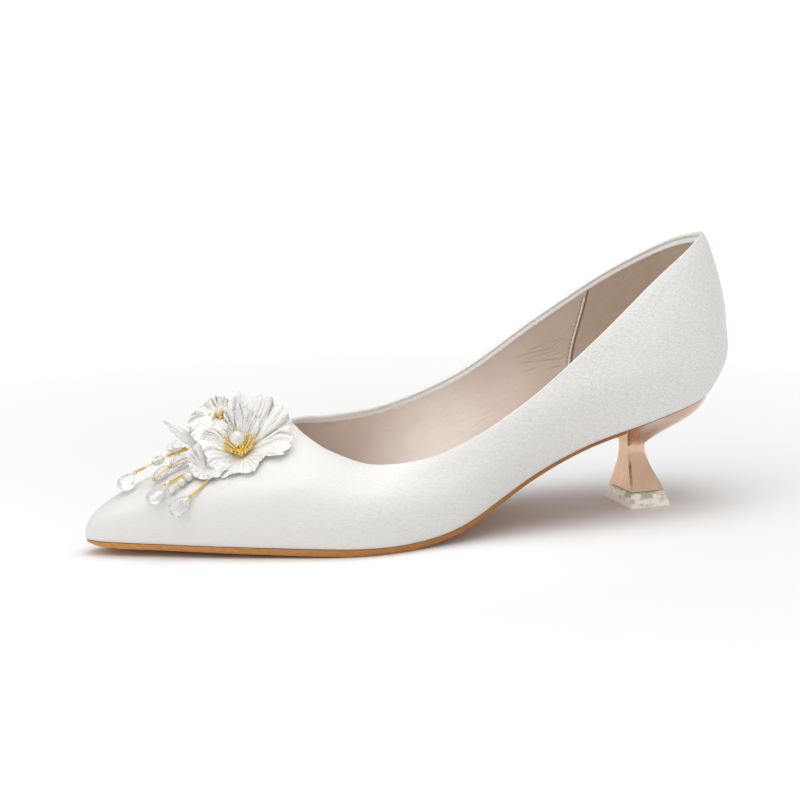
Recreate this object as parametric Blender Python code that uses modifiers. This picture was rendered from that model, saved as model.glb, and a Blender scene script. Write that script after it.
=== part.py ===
# A pointed satin pump, left foot: a hollow lasted upper, an outsole with toe spring and arch,
# an insole, a low flared heel with a clear top piece, and a flower with drops on the vamp.
# The toe points along -X, the outer side of the foot along -Y, and the ground is z = 0.

import math

import bpy
import bmesh
import numpy as np
from mathutils import Matrix, Vector

MM = 0.001

# Driving sizes of the last, in millimetres.
LENGTH = 237.5  # toe tip to heel back, along the edge where the upper meets the sole
BALL_WIDTH = 69.0
COLLAR_HEIGHT = 99.6  # back of the topline above the ground
HEEL_HEIGHT = 42.0  # back of the seat above the ground
ORIGIN_STATION = 123.4  # station that becomes x = 0
ORIGIN_SIDE = -0.52  # side offset that becomes y = 0

WALL = 1.8
GAP = 0.35  # curved pieces meet this far apart
RIBS = 84
RIB_STEPS = 10

# One row per rib of the upper, toe to heel. Stations are shares of LENGTH, widths are shares of
# BALL_WIDTH and topline heights are shares of COLLAR_HEIGHT. The last four shape the rib, in mm:
# it leaves the sole edge with this rise and flare and comes into the topline with this reach and drop.
RIB_COLUMNS = ("station", "lateral", "medial", "top_station", "top_lateral", "top_medial",
               "top_z_lateral", "top_z_medial", "rise", "flare", "reach", "drop")
RIB_ROWS = (
    (0.000, -0.087, 0.087, 0.305, -0.022, 0.022, 0.427, 0.427, 17.0, 2.0, 34.0, 18.0),
    (0.013, -0.022, 0.152, 0.309, 0.036, 0.080, 0.418, 0.424, 17.0, 2.0, 33.0, 17.0),
    (0.093, 0.130, 0.254, 0.322, 0.109, 0.145, 0.385, 0.414, 18.0, 2.5, 28.0, 13.0),
    (0.219, 0.333, 0.384, 0.354, 0.203, 0.239, 0.334, 0.404, 20.0, 4.0, 20.0, 8.0),
    (0.371, 0.507, 0.493, 0.417, 0.312, 0.333, 0.290, 0.388, 16.0, 4.5, 10.0, 8.0),
    (0.497, 0.464, 0.420, 0.509, 0.384, 0.391, 0.321, 0.402, 14.0, 5.0, 5.0, 10.0),
    (0.632, 0.355, 0.326, 0.632, 0.406, 0.406, 0.467, 0.497, 16.0, 6.5, 3.0, 12.0),
    (0.758, 0.326, 0.319, 0.758, 0.362, 0.370, 0.673, 0.686, 20.0, 8.0, 5.0, 16.0),
    (0.872, 0.333, 0.333, 0.872, 0.268, 0.268, 0.863, 0.863, 22.0, 8.5, 8.5, 20.0),
    (0.966, 0.236, 0.236, 0.960, 0.147, 0.147, 0.972, 0.970, 17.0, 11.5, 9.5, 23.0),
    (1.006, 0.000, 0.000, 0.999, 0.000, 0.000, 1.000, 1.000, 13.0, 14.0, 8.5, 24.0),
)

# Height of the sole edge along the shoe: station as a share of LENGTH, height as a share of HEEL_HEIGHT.
EDGE_ROWS = (
    (0.000, 0.133), (0.084, 0.121), (0.189, 0.105), (0.295, 0.086), (0.371, 0.071), (0.438, 0.069),
    (0.488, 0.093), (0.539, 0.160), (0.602, 0.314), (0.661, 0.481), (0.737, 0.657), (0.821, 0.795),
    (0.905, 0.907), (1.008, 1.030),
)

# Outsole thickness, mm, over stations as shares of LENGTH. The tread between the two is flat on the ground.
SOLE_ROWS = ((0.000, 1.9), (0.100, 2.1), (0.200, 2.4), (0.300, 2.6), (0.480, 2.5), (0.540, 2.4),
             (0.600, 2.2), (0.660, 1.9), (0.740, 1.5), (0.821, 1.2))
TREAD = (0.352, 0.452)
END_CUT = 0.2  # the soles stop this short of their outline's very ends, so each end is a narrow face
SOLE_INSET = 0.4
SOLE_BEVEL = (0.8, 0.45)  # how far the bottom edge draws in, and the share of the thickness above it
SOLE_STATIONS = 46
HEEL_BREAST = 0.819  # station where the outsole ends and the heel seat begins
BREAST_GAP = 0.0016

INSOLE_THICKNESS = 2.2
INSOLE_INSET = WALL + 0.75
INSOLE_STATIONS = 44

# Heel pillar from neck to base: height, centre station, half length and half width, mm.
PILLAR_ROWS = (
    (22.5, 208.5, 3.50, 4.20), (20.0, 208.6, 3.55, 4.45), (18.0, 208.9, 3.85, 4.80),
    (16.0, 209.2, 4.20, 5.25), (14.0, 209.4, 4.65, 5.95), (12.0, 209.8, 5.20, 6.75),
    (10.0, 210.2, 5.80, 7.60), (8.0, 210.6, 6.40, 8.45), (6.0, 210.9, 6.95, 9.15),
)
PILLAR_CHAMFER = 0.8
CUP_RINGS = 10
# Shares of the way in and of the way down that steer the cup's lower curve, at its two ends:
# the breast turns in under the sole first, and the back goes down first.
CUP_BREAST = ((0.35, 0.12), (0.96, 0.50))
CUP_BACK = ((0.05, 0.58), (0.90, 0.80))
SIDE_STEPS = 10
BREAST_STEPS = 6

# Clear top piece: height, centre station, half length and half width, mm.
TIP_TOP = (5.65, 210.9, 7.1, 9.2)
TIP_FOOT = (0.0, 211.4, 8.2, 11.0)
TIP_BEVEL = 0.15

# Ornament. Places on the upper are (way round from the toe, way up a rib); lifts are mm above it.
# Each petal is its turn, length and tilt; turn 0 is towards the toe, 90 towards the outer side.
PETAL_THICK = 0.5
PETAL_STEPS = (6, 5)  # divisions across a petal and along it
STAMEN_STEPS = (4, 5)
HUB_RADIUS = 1.2
HUB_BEND = 2.5  # a petal leaves the hub flat, or up its tube, and reaches its tilt over this length
TUBE_TILT = 85.0
NOTCH = 0.28  # share of a petal's length that is cut back between petals
FLOWER_PLACE = (0.0172, 0.80)
FLOWER_LEAN = 6.0  # degrees the flower leans outwards from the vamp
OUTER_PETALS = ((14.0, 5.5, 16.0), (62.0, 12.6, 6.0), (112.0, 11.5, 6.0), (160.0, 18.2, 8.0),
                (197.0, 21.5, 32.0), (243.0, 20.0, 47.0), (306.0, 8.5, 46.0))
INNER_PETALS = ((40.0, 6.0, 18.0), (130.0, 7.5, 16.0), (205.0, 13.5, 50.0), (252.0, 13.5, 60.0),
                (318.0, 8.0, 52.0))
STAMENS = tuple((36.0 * k, 7.2, 64.0) for k in range(10))
OUTER_LIFT = 0.8
INNER_LIFT = 2.1
STAMEN_LIFT = 3.5
PEARL_RADIUS = 2.45
PEARL_LIFT = 6.5
REAR_PLACE = (0.9595, 0.78)
REAR_LEAN = 24.0
REAR_PETALS = ((22.0, 7.5, 10.0), (82.0, 5.0, 8.0), (150.0, 4.0, 30.0), (236.0, 6.5, 50.0),
               (308.0, 6.8, 34.0))
REAR_LIFT = 1.4
REAR_TUBE = 8.8
REAR_STEPS = (6, 10)
REAR_PEARL_RADIUS = 2.2
REAR_PEARL_LIFT = 12.6
REAR_BEAD_RADIUS = 0.8
REAR_BEAD_RISE = 26.0  # degrees, from the outer side up, where the bead sits on its pearl
FRONT_PLACE = (0.0146, 0.672)
FRONT_LEAN = 4.0
FRONT_PETALS = ((0.0, 9.5, 50.0), (72.0, 9.0, 12.0), (144.0, 4.5, 22.0), (216.0, 7.0, 62.0),
                (288.0, 13.0, 62.0))
FRONT_LIFT = 0.8

LEAF_PLACE = (0.975, 0.722)
LEAF_RISE = 55.0
LEAF_TWIST = 50.0
LEAF_LENGTH = 19.0
LEAF_HALF_WIDTH = 2.4
LEAF_END = 0.4  # share of the half width left at the leaf's ends
LEAF_CUP = 0.05

WIRE_RADIUS = 0.35
# Each wire runs through (way round, way up, lift) from the flower to its drop.
WIRES = {
    "wire_ridge": ((0.986, 0.74, 0.8), (0.978, 0.67, 4.0), (0.970, 0.60, 4.2), (0.974, 0.53, 3.4),
                   (0.986, 0.470, 2.4)),
    "wire_middle": ((0.0115, 0.640, 0.7), (0.0125, 0.60, 0.9), (0.015, 0.55, 0.9), (0.025, 0.49, 1.6)),
    "wire_side": ((0.035, 0.66, 0.8), (0.044, 0.59, 0.9), (0.055, 0.48, 0.9), (0.060, 0.42, 1.5)),
}
DROP_TAPER = 0.55
DROP_TIP = 0.12
# Each drop: way round, way up, lift of its middle, half length, half width, half thickness, and the
# degrees it is rolled towards the outer side.
DROPS = {
    "drop_ridge": (0.9935, 0.430, 3.0, 4.8, 3.9, 2.6, 42.0),
    "drop_middle": (0.0345, 0.420, 2.0, 4.5, 3.5, 2.2, 0.0),
    "drop_side": (0.0640, 0.338, 1.95, 4.2, 3.3, 2.1, 0.0),
}
# Each bead: way round, way up, lift of its middle, radius.
BEADS = {
    "bead_clear": (0.9760, 0.630, 6.4, 1.9),
    "pearl_front": (0.0383, 0.465, 1.65, 1.3),
    "pearl_rear": (0.0331, 0.529, 1.8, 1.45),
}


def spline(knots, values, at, period=0.0):
    # A smooth curve through the values, with a tangent at each knot from its two neighbours.
    knots = np.asarray(knots, float)
    values = np.asarray(values, float)
    if period:
        knots = np.concatenate([knots[-2:] - period, knots, knots[:3] + period])
        values = np.concatenate([values[-2:], values, values[:3]])
    step = np.diff(knots)
    rate = np.diff(values, axis=0) / step[:, None]
    slope = np.empty_like(values)
    before, after = step[:-1, None], step[1:, None]
    slope[1:-1] = (rate[:-1] * after + rate[1:] * before) / (before + after)
    slope[0] = rate[0]
    slope[-1] = rate[-1]
    at = np.asarray(at, float)
    i = np.clip(np.searchsorted(knots, at, side="right") - 1, 0, len(step) - 1)
    h = step[i][:, None]
    q = ((at - knots[i]) / step[i])[:, None]
    return ((1 + 2 * q) * (1 - q) ** 2 * values[i] + q * (1 - q) ** 2 * h * slope[i]
            + q * q * (3 - 2 * q) * values[i + 1] + q * q * (q - 1) * h * slope[i + 1])


def edge_height(station):
    rows = np.array(EDGE_ROWS)
    return spline(rows[:, 0] * LENGTH, rows[:, 1:] * HEEL_HEIGHT, np.atleast_1d(station))[:, 0]


def ring_rows():
    # The rib rows once round the shoe: toe, outer side, heel, inner side.
    rows = [dict(zip(RIB_COLUMNS, row)) for row in RIB_ROWS]
    sides = [(row, "lateral", -1) for row in rows] + [(row, "medial", 1) for row in rows[-2:0:-1]]
    edge = [(r["station"] * LENGTH, sign * r[side] * BALL_WIDTH) for r, side, sign in sides]
    top = [(r["top_station"] * LENGTH,
            sign * r["top_" + side] * BALL_WIDTH,
            r["top_z_" + side] * COLLAR_HEIGHT) for r, side, sign in sides]
    shape = [(r["rise"], r["flare"], r["reach"], r["drop"]) for r, side, sign in sides]
    return np.array(edge), np.array(top), np.array(shape)


EDGE, TOP, SHAPE = ring_rows()
CHORDS = np.sqrt(np.linalg.norm(np.diff(np.vstack([EDGE, EDGE[:1]]), axis=0), axis=1))
KNOTS = np.concatenate([[0.0], np.cumsum(CHORDS)])
ROUND = KNOTS[-1]
KNOTS = KNOTS[:-1]


def outward(points):
    # Plan normals of a ring walked with the outer side of the shoe on its right.
    along = np.roll(points, -1, 0) - np.roll(points, 1, 0)
    along = along / np.linalg.norm(along, axis=1)[:, None]
    return np.column_stack([along[:, 1], -along[:, 0]])


FINE = 960
FINE_AT = np.arange(FINE) / FINE * ROUND
FINE_EDGE = spline(KNOTS, EDGE, FINE_AT, ROUND)
FINE_TOP = spline(KNOTS, TOP, FINE_AT, ROUND)
FINE_SHAPE = spline(KNOTS, SHAPE, FINE_AT, ROUND)
FINE_EDGE_OUT = outward(FINE_EDGE)
FINE_TOP_OUT = outward(FINE_TOP[:, :2])


def rib_controls():
    rise, flare, reach, drop = (FINE_SHAPE[:, k:k + 1] for k in range(4))
    height = edge_height(FINE_EDGE[:, 0])[:, None]
    first = np.hstack([FINE_EDGE, height])
    second = np.hstack([FINE_EDGE + FINE_EDGE_OUT * flare, height + rise])
    third = np.hstack([FINE_TOP[:, :2] + FINE_TOP_OUT * reach, FINE_TOP[:, 2:] - drop])
    return first, second, third, FINE_TOP


CONTROLS = rib_controls()


def upper_point(turn, way):
    # Point of the upper's outside: turn runs round from the toe, way runs up the rib from the sole.
    place = (turn % 1.0) * FINE
    i = int(place) % FINE
    q = place - int(place)
    a, b, c, d = ((1 - q) * k[i] + q * k[(i + 1) % FINE] for k in CONTROLS)
    w = 1 - way
    p = w ** 3 * a + 3 * w * w * way * b + 3 * w * way * way * c + way ** 3 * d
    return Vector((p[0] - ORIGIN_STATION, p[1] - ORIGIN_SIDE, p[2]))


def upper_frame(turn, way):
    # Point, outward normal and the direction towards the toe along the surface.
    step = 0.004
    point = upper_point(turn, way)
    along = upper_point(turn + step, way) - upper_point(turn - step, way)
    up = upper_point(turn, way + step) - upper_point(turn, way - step)
    normal = along.cross(up).normalized()
    toe = Vector((-1, 0, 0))
    toe = (toe - normal * toe.dot(normal)).normalized()
    return point, normal, toe


def lifted(turn, way, lift):
    point, normal, toe = upper_frame(turn, way)
    return point + normal * lift


def widths(inset):
    # Sole outline drawn in by inset: the outer and inner side offsets as functions of the station.
    ring = FINE_EDGE - FINE_EDGE_OUT * inset
    toe = int(np.argmin(ring[:, 0]))
    heel = int(np.argmax(ring[:, 0]))
    ring = np.roll(ring, -toe, axis=0)
    heel = (heel - toe) % FINE
    outer = ring[:heel + 1]
    inner = np.vstack([ring[heel:], ring[:1]])[::-1]
    return outer, inner


def side_offsets(outline, station):
    outer, inner = outline
    return (float(np.interp(station, outer[:, 0], outer[:, 1])),
            float(np.interp(station, inner[:, 0], inner[:, 1])))


def shoe_point(station, side, height):
    return Vector((station - ORIGIN_STATION, side - ORIGIN_SIDE, height))


COLLECTION = bpy.data.collections.new("high_heel_shoe")


def material(name, colour, roughness, metallic=0.0, alpha=1.0):
    made = bpy.data.materials.new(name)
    made.use_nodes = True
    shader = made.node_tree.nodes["Principled BSDF"]
    shader.inputs["Base Color"].default_value = (*colour, 1.0)
    shader.inputs["Roughness"].default_value = roughness
    shader.inputs["Metallic"].default_value = metallic
    shader.inputs["Alpha"].default_value = alpha
    return made


def add_object(name, data, surface):
    data.materials.append(surface)
    made = bpy.data.objects.new(name, data)
    COLLECTION.objects.link(made)
    return made


def add_mesh(name, bm, surface, smooth=True):
    bmesh.ops.scale(bm, vec=(MM, MM, MM), verts=bm.verts)
    for face in bm.faces:
        face.smooth = smooth
    data = bpy.data.meshes.new(name)
    bm.to_mesh(data)
    bm.free()
    return add_object(name, data, surface)


def thicken(made, thickness, offset):
    shell = made.modifiers.new("wall", "SOLIDIFY")
    shell.thickness = thickness * MM
    shell.offset = offset
    shell.use_even_offset = True
    shell.use_rim = True


def moved_grid(columns, rows, place, ring):
    # A flat grid whose corner-to-corner shares (0 to 1) are moved by a function; a ring is sewn up.
    bm = bmesh.new()
    bmesh.ops.create_grid(bm, x_segments=columns, y_segments=rows, size=0.5)
    for vert in bm.verts:
        vert.co = place(vert.co.x + 0.5, vert.co.y + 0.5)
    if ring:
        bmesh.ops.remove_doubles(bm, verts=bm.verts, dist=0.001)
    return bm


def loft(rings, caps=True):
    bm = bmesh.new()
    made = [[bm.verts.new(point) for point in ring] for ring in rings]
    count = len(made[0])
    for one, two in zip(made, made[1:]):
        for k in range(count):
            bm.faces.new((one[k], one[(k + 1) % count], two[(k + 1) % count], two[k]))
    if caps:
        bm.faces.new(made[0][::-1])
        bm.faces.new(made[-1])
    bmesh.ops.recalc_face_normals(bm, faces=bm.faces)
    return bm


def eased_stations(first, last, count):
    # Stations that crowd towards both ends, where the outline turns fastest.
    return [first + (last - first) * 0.5 * (1 - math.cos(math.pi * k / count)) for k in range(count + 1)]


def make_upper(surface):
    bm = moved_grid(RIBS, RIB_STEPS, upper_point, True)
    thicken(add_mesh("upper", bm, surface), WALL, -1.0)


def make_outsole(surface):
    outline = widths(SOLE_INSET)
    last = HEEL_BREAST * LENGTH
    stations = eased_stations(outline[0][0, 0] + END_CUT, last, SOLE_STATIONS)
    tread = [share * LENGTH for share in TREAD]
    stations = sorted([s for s in stations if min(abs(s - t) for t in tread) > 1.0] + tread)
    rows = np.array(SOLE_ROWS)
    draw, share = SOLE_BEVEL
    rings = []
    for station in stations:
        outer, inner = side_offsets(outline, station)
        top = float(edge_height(station)[0]) - GAP
        thick = float(spline(rows[:, 0] * LENGTH, rows[:, 1:], [station])[0, 0])
        foot = 0.0 if tread[0] <= station <= tread[1] else max(top - thick, 0.0)
        middle = top - (top - foot) * share
        pull = min(draw, (inner - outer) * 0.3)
        section = ((outer, top), (inner, top), (inner, middle),
                   (inner - pull, foot), (outer + pull, foot), (outer, middle))
        rings.append([shoe_point(station, y, z) for y, z in section])
    add_mesh("outsole", loft(rings), surface, smooth=False)


def make_insole(surface):
    outline = widths(INSOLE_INSET)
    stations = eased_stations(outline[0][0, 0] + END_CUT, outline[0][-1, 0] - END_CUT, INSOLE_STATIONS)
    rings = []
    for station in stations:
        outer, inner = side_offsets(outline, station)
        foot = float(edge_height(station)[0])
        top = foot + INSOLE_THICKNESS
        section = ((outer, foot), (inner, foot), (inner, top), (outer, top))
        rings.append([shoe_point(station, y, z) for y, z in section])
    add_mesh("insole", loft(rings), surface, smooth=False)


def heel_rings():
    # The seat: a straight breast, then matched stations along both sides to the back.
    outline = widths(SOLE_INSET)
    breast = (HEEL_BREAST + BREAST_GAP) * LENGTH
    back = outline[0][-1, 0]
    quarter = [math.sin(0.5 * math.pi * k / SIDE_STEPS) for k in range(SIDE_STEPS + 1)]
    stations = [breast + (back - breast) * share for share in quarter]
    pairs = [side_offsets(outline, station) for station in stations]
    line = [pairs[0][1] + (pairs[0][0] - pairs[0][1]) * k / BREAST_STEPS for k in range(1, BREAST_STEPS)]
    seat = [(breast, y) for y in line]
    seat += [(s, pair[0]) for s, pair in zip(stations, pairs)]
    seat += [(s, pair[1]) for s, pair in reversed(list(zip(stations, pairs))[:-1])]
    seat = [(s, y, float(edge_height(s)[0]) - GAP) for s, y in seat]

    def pillar(row):
        # A chamfered box section walked in step with the seat: front, outer side, back, inner side.
        z, centre, half_length, half_width = row
        cut = PILLAR_CHAMFER
        front = np.linspace(half_width - cut, cut - half_width, BREAST_STEPS + 1)
        ring = [(centre - half_length, y, z) for y in front[1:-1]]
        along = np.linspace(cut - half_length, half_length - cut, SIDE_STEPS - 3)
        side = [(-half_length, half_width - cut)]
        side += [(x, half_width) for x in along]
        side += [(half_length, half_width - cut), (half_length, 0.5 * (half_width - cut))]
        ring += [(centre + x, -y, z) for x, y in side]
        ring += [(centre + half_length, 0.0, z)]
        ring += [(centre + x, y, z) for x, y in reversed(side)]
        return ring

    neck = pillar(PILLAR_ROWS[0])
    rings = []
    for k in range(CUP_RINGS):
        q = k / CUP_RINGS
        first, second, last = 3 * q * (1 - q) ** 2, 3 * q * q * (1 - q), q ** 3
        ring = []
        for a, b in zip(seat, neck):
            rear = (a[0] - breast) / (back - breast)
            start, end = np.array(CUP_BREAST) * (1 - rear) + np.array(CUP_BACK) * rear
            across, down = first * start + second * end + last
            s, y, z = (two - one for one, two in zip(a, b))
            ring.append((a[0] + s * across, a[1] + y * across, a[2] + z * down))
        rings.append(ring)
    rings += [pillar(row) for row in PILLAR_ROWS]
    return [[shoe_point(*point) for point in ring] for ring in rings]


def make_heel(surface):
    rings = heel_rings()
    bm = loft(rings, caps=False)
    bm.verts.ensure_lookup_table()
    count = len(rings[0])
    bm.faces.new(bm.verts[-count:])
    # The seat is closed in strips across it, so that it bends with the sole edge.
    seat = list(bm.verts)[:count]
    first = BREAST_STEPS - 1
    outer = seat[first:first + SIDE_STEPS + 1]
    inner = outer[-1:] + seat[first + SIDE_STEPS + 1:]
    inner = inner[::-1]
    bm.faces.new(seat[:first] + [outer[0], outer[1], inner[1], inner[0]])
    for k in range(1, SIDE_STEPS - 1):
        bm.faces.new((outer[k], outer[k + 1], inner[k + 1], inner[k]))
    bm.faces.new((outer[-2], outer[-1], inner[-2]))
    bmesh.ops.recalc_face_normals(bm, faces=bm.faces)
    add_mesh("heel", bm, surface, smooth=False)


def make_top_piece(surface):
    bm = bmesh.new()
    bmesh.ops.create_cube(bm, size=2.0)
    for vert in bm.verts:
        z, centre, half_length, half_width = TIP_TOP if vert.co.z > 0 else TIP_FOOT
        vert.co = shoe_point(centre + half_length * vert.co.x, half_width * vert.co.y, z)
    bmesh.ops.bevel(bm, geom=bm.edges, offset=TIP_BEVEL, segments=1, profile=0.5, affect="EDGES",
                    material=-1)
    add_mesh("top_piece", bm, surface, smooth=False)


def flower_frame(place, lean):
    # Columns of the frame: towards the toe, towards the outer side, along the leaning axis.
    point, normal, toe = upper_frame(*place)
    side = normal.cross(toe)
    angle = math.radians(lean)
    axis = normal * math.cos(angle) + side * math.sin(angle)
    side = axis.cross(toe)
    frame = Matrix((toe, side, axis)).transposed().to_4x4()
    frame.translation = point
    return frame


def petal_ring(name, frame, petals, lift, surface, tube=0.0, steps=PETAL_STEPS):
    # One cut sheet with several petals: each row of petals gives its turn, length and tilt.
    count = len(petals)
    rows = np.array(petals)
    first_turn = rows[0, 0]
    spread = 360.0 / count
    reach = np.linspace(0.0, 1.0, 25)
    stem = TUBE_TILT if tube else 0.0

    def place(across, way):
        turn = first_turn - 0.5 * spread + 360.0 * across
        place_on_ring = first_turn + (turn - first_turn) % 360.0
        length, tilt = spline(rows[:, 0], rows[:, 1:], [place_on_ring], 360.0)[0]
        off_middle = abs(2.0 * ((across * count) % 1.0) - 1.0)
        length *= 1.0 - NOTCH * off_middle ** 3
        bend = np.clip((reach * (length + tube) - tube) / HUB_BEND, 0.0, 1.0)
        slope = np.radians(stem + (tilt - stem) * bend * bend * (3 - 2 * bend))
        walked = np.interp(reach * way, reach, slope)
        size = (length + tube) * way
        out = HUB_RADIUS + size * float(np.mean(np.cos(walked)))
        up = lift + size * float(np.mean(np.sin(walked)))
        angle = math.radians(turn)
        return frame @ Vector((out * math.cos(angle), out * math.sin(angle), up))

    bm = moved_grid(count * steps[0], steps[1], place, True)
    thicken(add_mesh(name, bm, surface), PETAL_THICK, 0.0)


def ball(name, centre, radius, surface):
    bm = bmesh.new()
    bmesh.ops.create_uvsphere(bm, u_segments=12, v_segments=8, radius=radius)
    bmesh.ops.translate(bm, vec=centre, verts=bm.verts)
    add_mesh(name, bm, surface)


def make_flower(silk, pearl, gold):
    frame = flower_frame(FLOWER_PLACE, FLOWER_LEAN)
    petal_ring("flower_outer", frame, OUTER_PETALS, OUTER_LIFT, silk)
    petal_ring("flower_inner", frame, INNER_PETALS, INNER_LIFT, silk)
    petal_ring("stamens", frame, STAMENS, STAMEN_LIFT, gold, steps=STAMEN_STEPS)
    ball("flower_pearl", frame @ Vector((0, 0, PEARL_LIFT)), PEARL_RADIUS, pearl)
    frame = flower_frame(REAR_PLACE, REAR_LEAN)
    petal_ring("rear_petals", frame, REAR_PETALS, REAR_LIFT, silk, tube=REAR_TUBE, steps=REAR_STEPS)
    middle = Vector((0, 0, REAR_PEARL_LIFT))
    ball("rear_pearl", frame @ middle, REAR_PEARL_RADIUS, pearl)
    off = REAR_PEARL_RADIUS + REAR_BEAD_RADIUS + GAP
    rise = math.radians(REAR_BEAD_RISE)
    seat = middle + Vector((0.0, off * math.cos(rise), off * math.sin(rise)))
    ball("rear_bead", frame @ seat, REAR_BEAD_RADIUS, gold)
    frame = flower_frame(FRONT_PLACE, FRONT_LEAN)
    petal_ring("front_petals", frame, FRONT_PETALS, FRONT_LIFT, silk)


def make_leaf(silk):
    point, normal, toe = upper_frame(*LEAF_PLACE)
    side = normal.cross(toe)
    rise = math.radians(LEAF_RISE)
    twist = math.radians(LEAF_TWIST)
    along = toe * math.cos(rise) + normal * math.sin(rise)
    face = side.cross(along)
    across_leaf = side * math.cos(twist) - face * math.sin(twist)
    face = face * math.cos(twist) + side * math.sin(twist)
    base = point + normal * (LEAF_HALF_WIDTH * LEAF_END + GAP)

    def place(across, way):
        half = LEAF_HALF_WIDTH * (LEAF_END + (1 - LEAF_END) * math.sin(math.pi * way))
        offset = (2.0 * across - 1.0) * half
        return base + along * (LEAF_LENGTH * way) + across_leaf * offset - face * (LEAF_CUP * offset ** 2)

    bm = moved_grid(6, 10, place, False)
    thicken(add_mesh("leaf", bm, silk), PETAL_THICK, 0.0)


def make_wires(gold):
    for name, path in WIRES.items():
        data = bpy.data.curves.new(name, "CURVE")
        data.dimensions = "3D"
        data.bevel_depth = WIRE_RADIUS * MM
        data.bevel_resolution = 1
        data.resolution_u = 4
        data.use_fill_caps = True
        line = data.splines.new("BEZIER")
        line.bezier_points.add(len(path) - 1)
        for point, place in zip(line.bezier_points, path):
            point.co = lifted(*place) * MM
            point.handle_left_type = "AUTO"
            point.handle_right_type = "AUTO"
        add_object(name, data, gold)


def make_drops(clear):
    for name, (turn, way, lift, half_length, half_width, half_thick, roll) in DROPS.items():
        point, normal, toe = upper_frame(turn, way)
        wire_end = lifted(*WIRES["wire_" + name.split("_")[1]][-1])
        centre = point + normal * lift
        along = wire_end - centre
        along = (along - normal * along.dot(normal)).normalized()
        rolled = Matrix.Rotation(math.radians(roll), 3, along)
        frame = Matrix((along, rolled @ normal.cross(along), rolled @ normal)).transposed().to_4x4()
        frame.translation = centre
        bm = bmesh.new()
        bmesh.ops.create_uvsphere(bm, u_segments=12, v_segments=10, radius=1.0)
        for vert in bm.verts:
            x = vert.co.z
            slim = (0.5 * (1.0 - x) + DROP_TIP) ** DROP_TAPER
            side, face = vert.co.x * slim, vert.co.y * slim
            vert.co = frame @ Vector((x * half_length, side * half_width, face * half_thick))
        add_mesh(name, bm, clear)


def make_beads(clear, pearl):
    for name, (turn, way, lift, radius) in BEADS.items():
        ball(name, lifted(turn, way, lift), radius, clear if name == "bead_clear" else pearl)


def build():
    for old in list(bpy.data.objects):
        bpy.data.objects.remove(old, do_unlink=True)
    bpy.context.scene.collection.children.link(COLLECTION)
    satin = material("white_satin", (0.86, 0.84, 0.81), 0.45)
    make_upper(satin)
    make_outsole(material("brown_sole", (0.42, 0.22, 0.10), 0.5))
    make_insole(material("beige_lining", (0.74, 0.62, 0.56), 0.6))
    make_heel(material("rose_gold", (0.80, 0.56, 0.46), 0.15, metallic=1.0))
    make_top_piece(material("clear_tip", (0.90, 0.90, 0.88), 0.08, alpha=0.4))
    silk = material("petal_silk", (0.90, 0.89, 0.87), 0.5)
    gold = material("gold_wire", (0.83, 0.60, 0.25), 0.25, metallic=1.0)
    pearl = material("pearl", (0.88, 0.85, 0.82), 0.2)
    clear = material("clear_drop", (0.92, 0.92, 0.94), 0.05, alpha=0.4)
    make_flower(silk, pearl, gold)
    make_leaf(silk)
    make_wires(gold)
    make_drops(clear)
    make_beads(clear, pearl)


build()
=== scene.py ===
import math

import bmesh
import bpy
import numpy as np
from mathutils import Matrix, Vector


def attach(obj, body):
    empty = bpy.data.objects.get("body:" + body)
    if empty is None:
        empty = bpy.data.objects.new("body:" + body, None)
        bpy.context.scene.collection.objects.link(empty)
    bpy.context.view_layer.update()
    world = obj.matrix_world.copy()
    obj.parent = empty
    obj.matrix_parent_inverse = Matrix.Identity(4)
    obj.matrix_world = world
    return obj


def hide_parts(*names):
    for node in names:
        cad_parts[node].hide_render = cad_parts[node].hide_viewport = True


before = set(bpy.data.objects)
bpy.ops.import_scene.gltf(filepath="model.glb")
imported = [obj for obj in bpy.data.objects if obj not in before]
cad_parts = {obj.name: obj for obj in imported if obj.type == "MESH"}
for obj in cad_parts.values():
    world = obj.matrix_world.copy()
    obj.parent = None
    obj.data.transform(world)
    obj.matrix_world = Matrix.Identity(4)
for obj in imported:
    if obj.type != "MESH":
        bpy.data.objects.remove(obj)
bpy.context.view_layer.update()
print("frame loaded:", len(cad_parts), "solids")

mm = 0.001
weld = 1e-6  # metres, within which two points are sewn into one

# sizes of the last in mm; a station is how far back a place lies from the toe's sole edge
shoe = dict(length=237.5, ballWidth=69.0, collarHeight=99.6, heelHeight=42.0, wall=1.8, gap=0.35,
            originStation=123.4, originSide=-0.52, soleInset=0.4, endTrim=0.2, ringSteps=1920)
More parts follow.
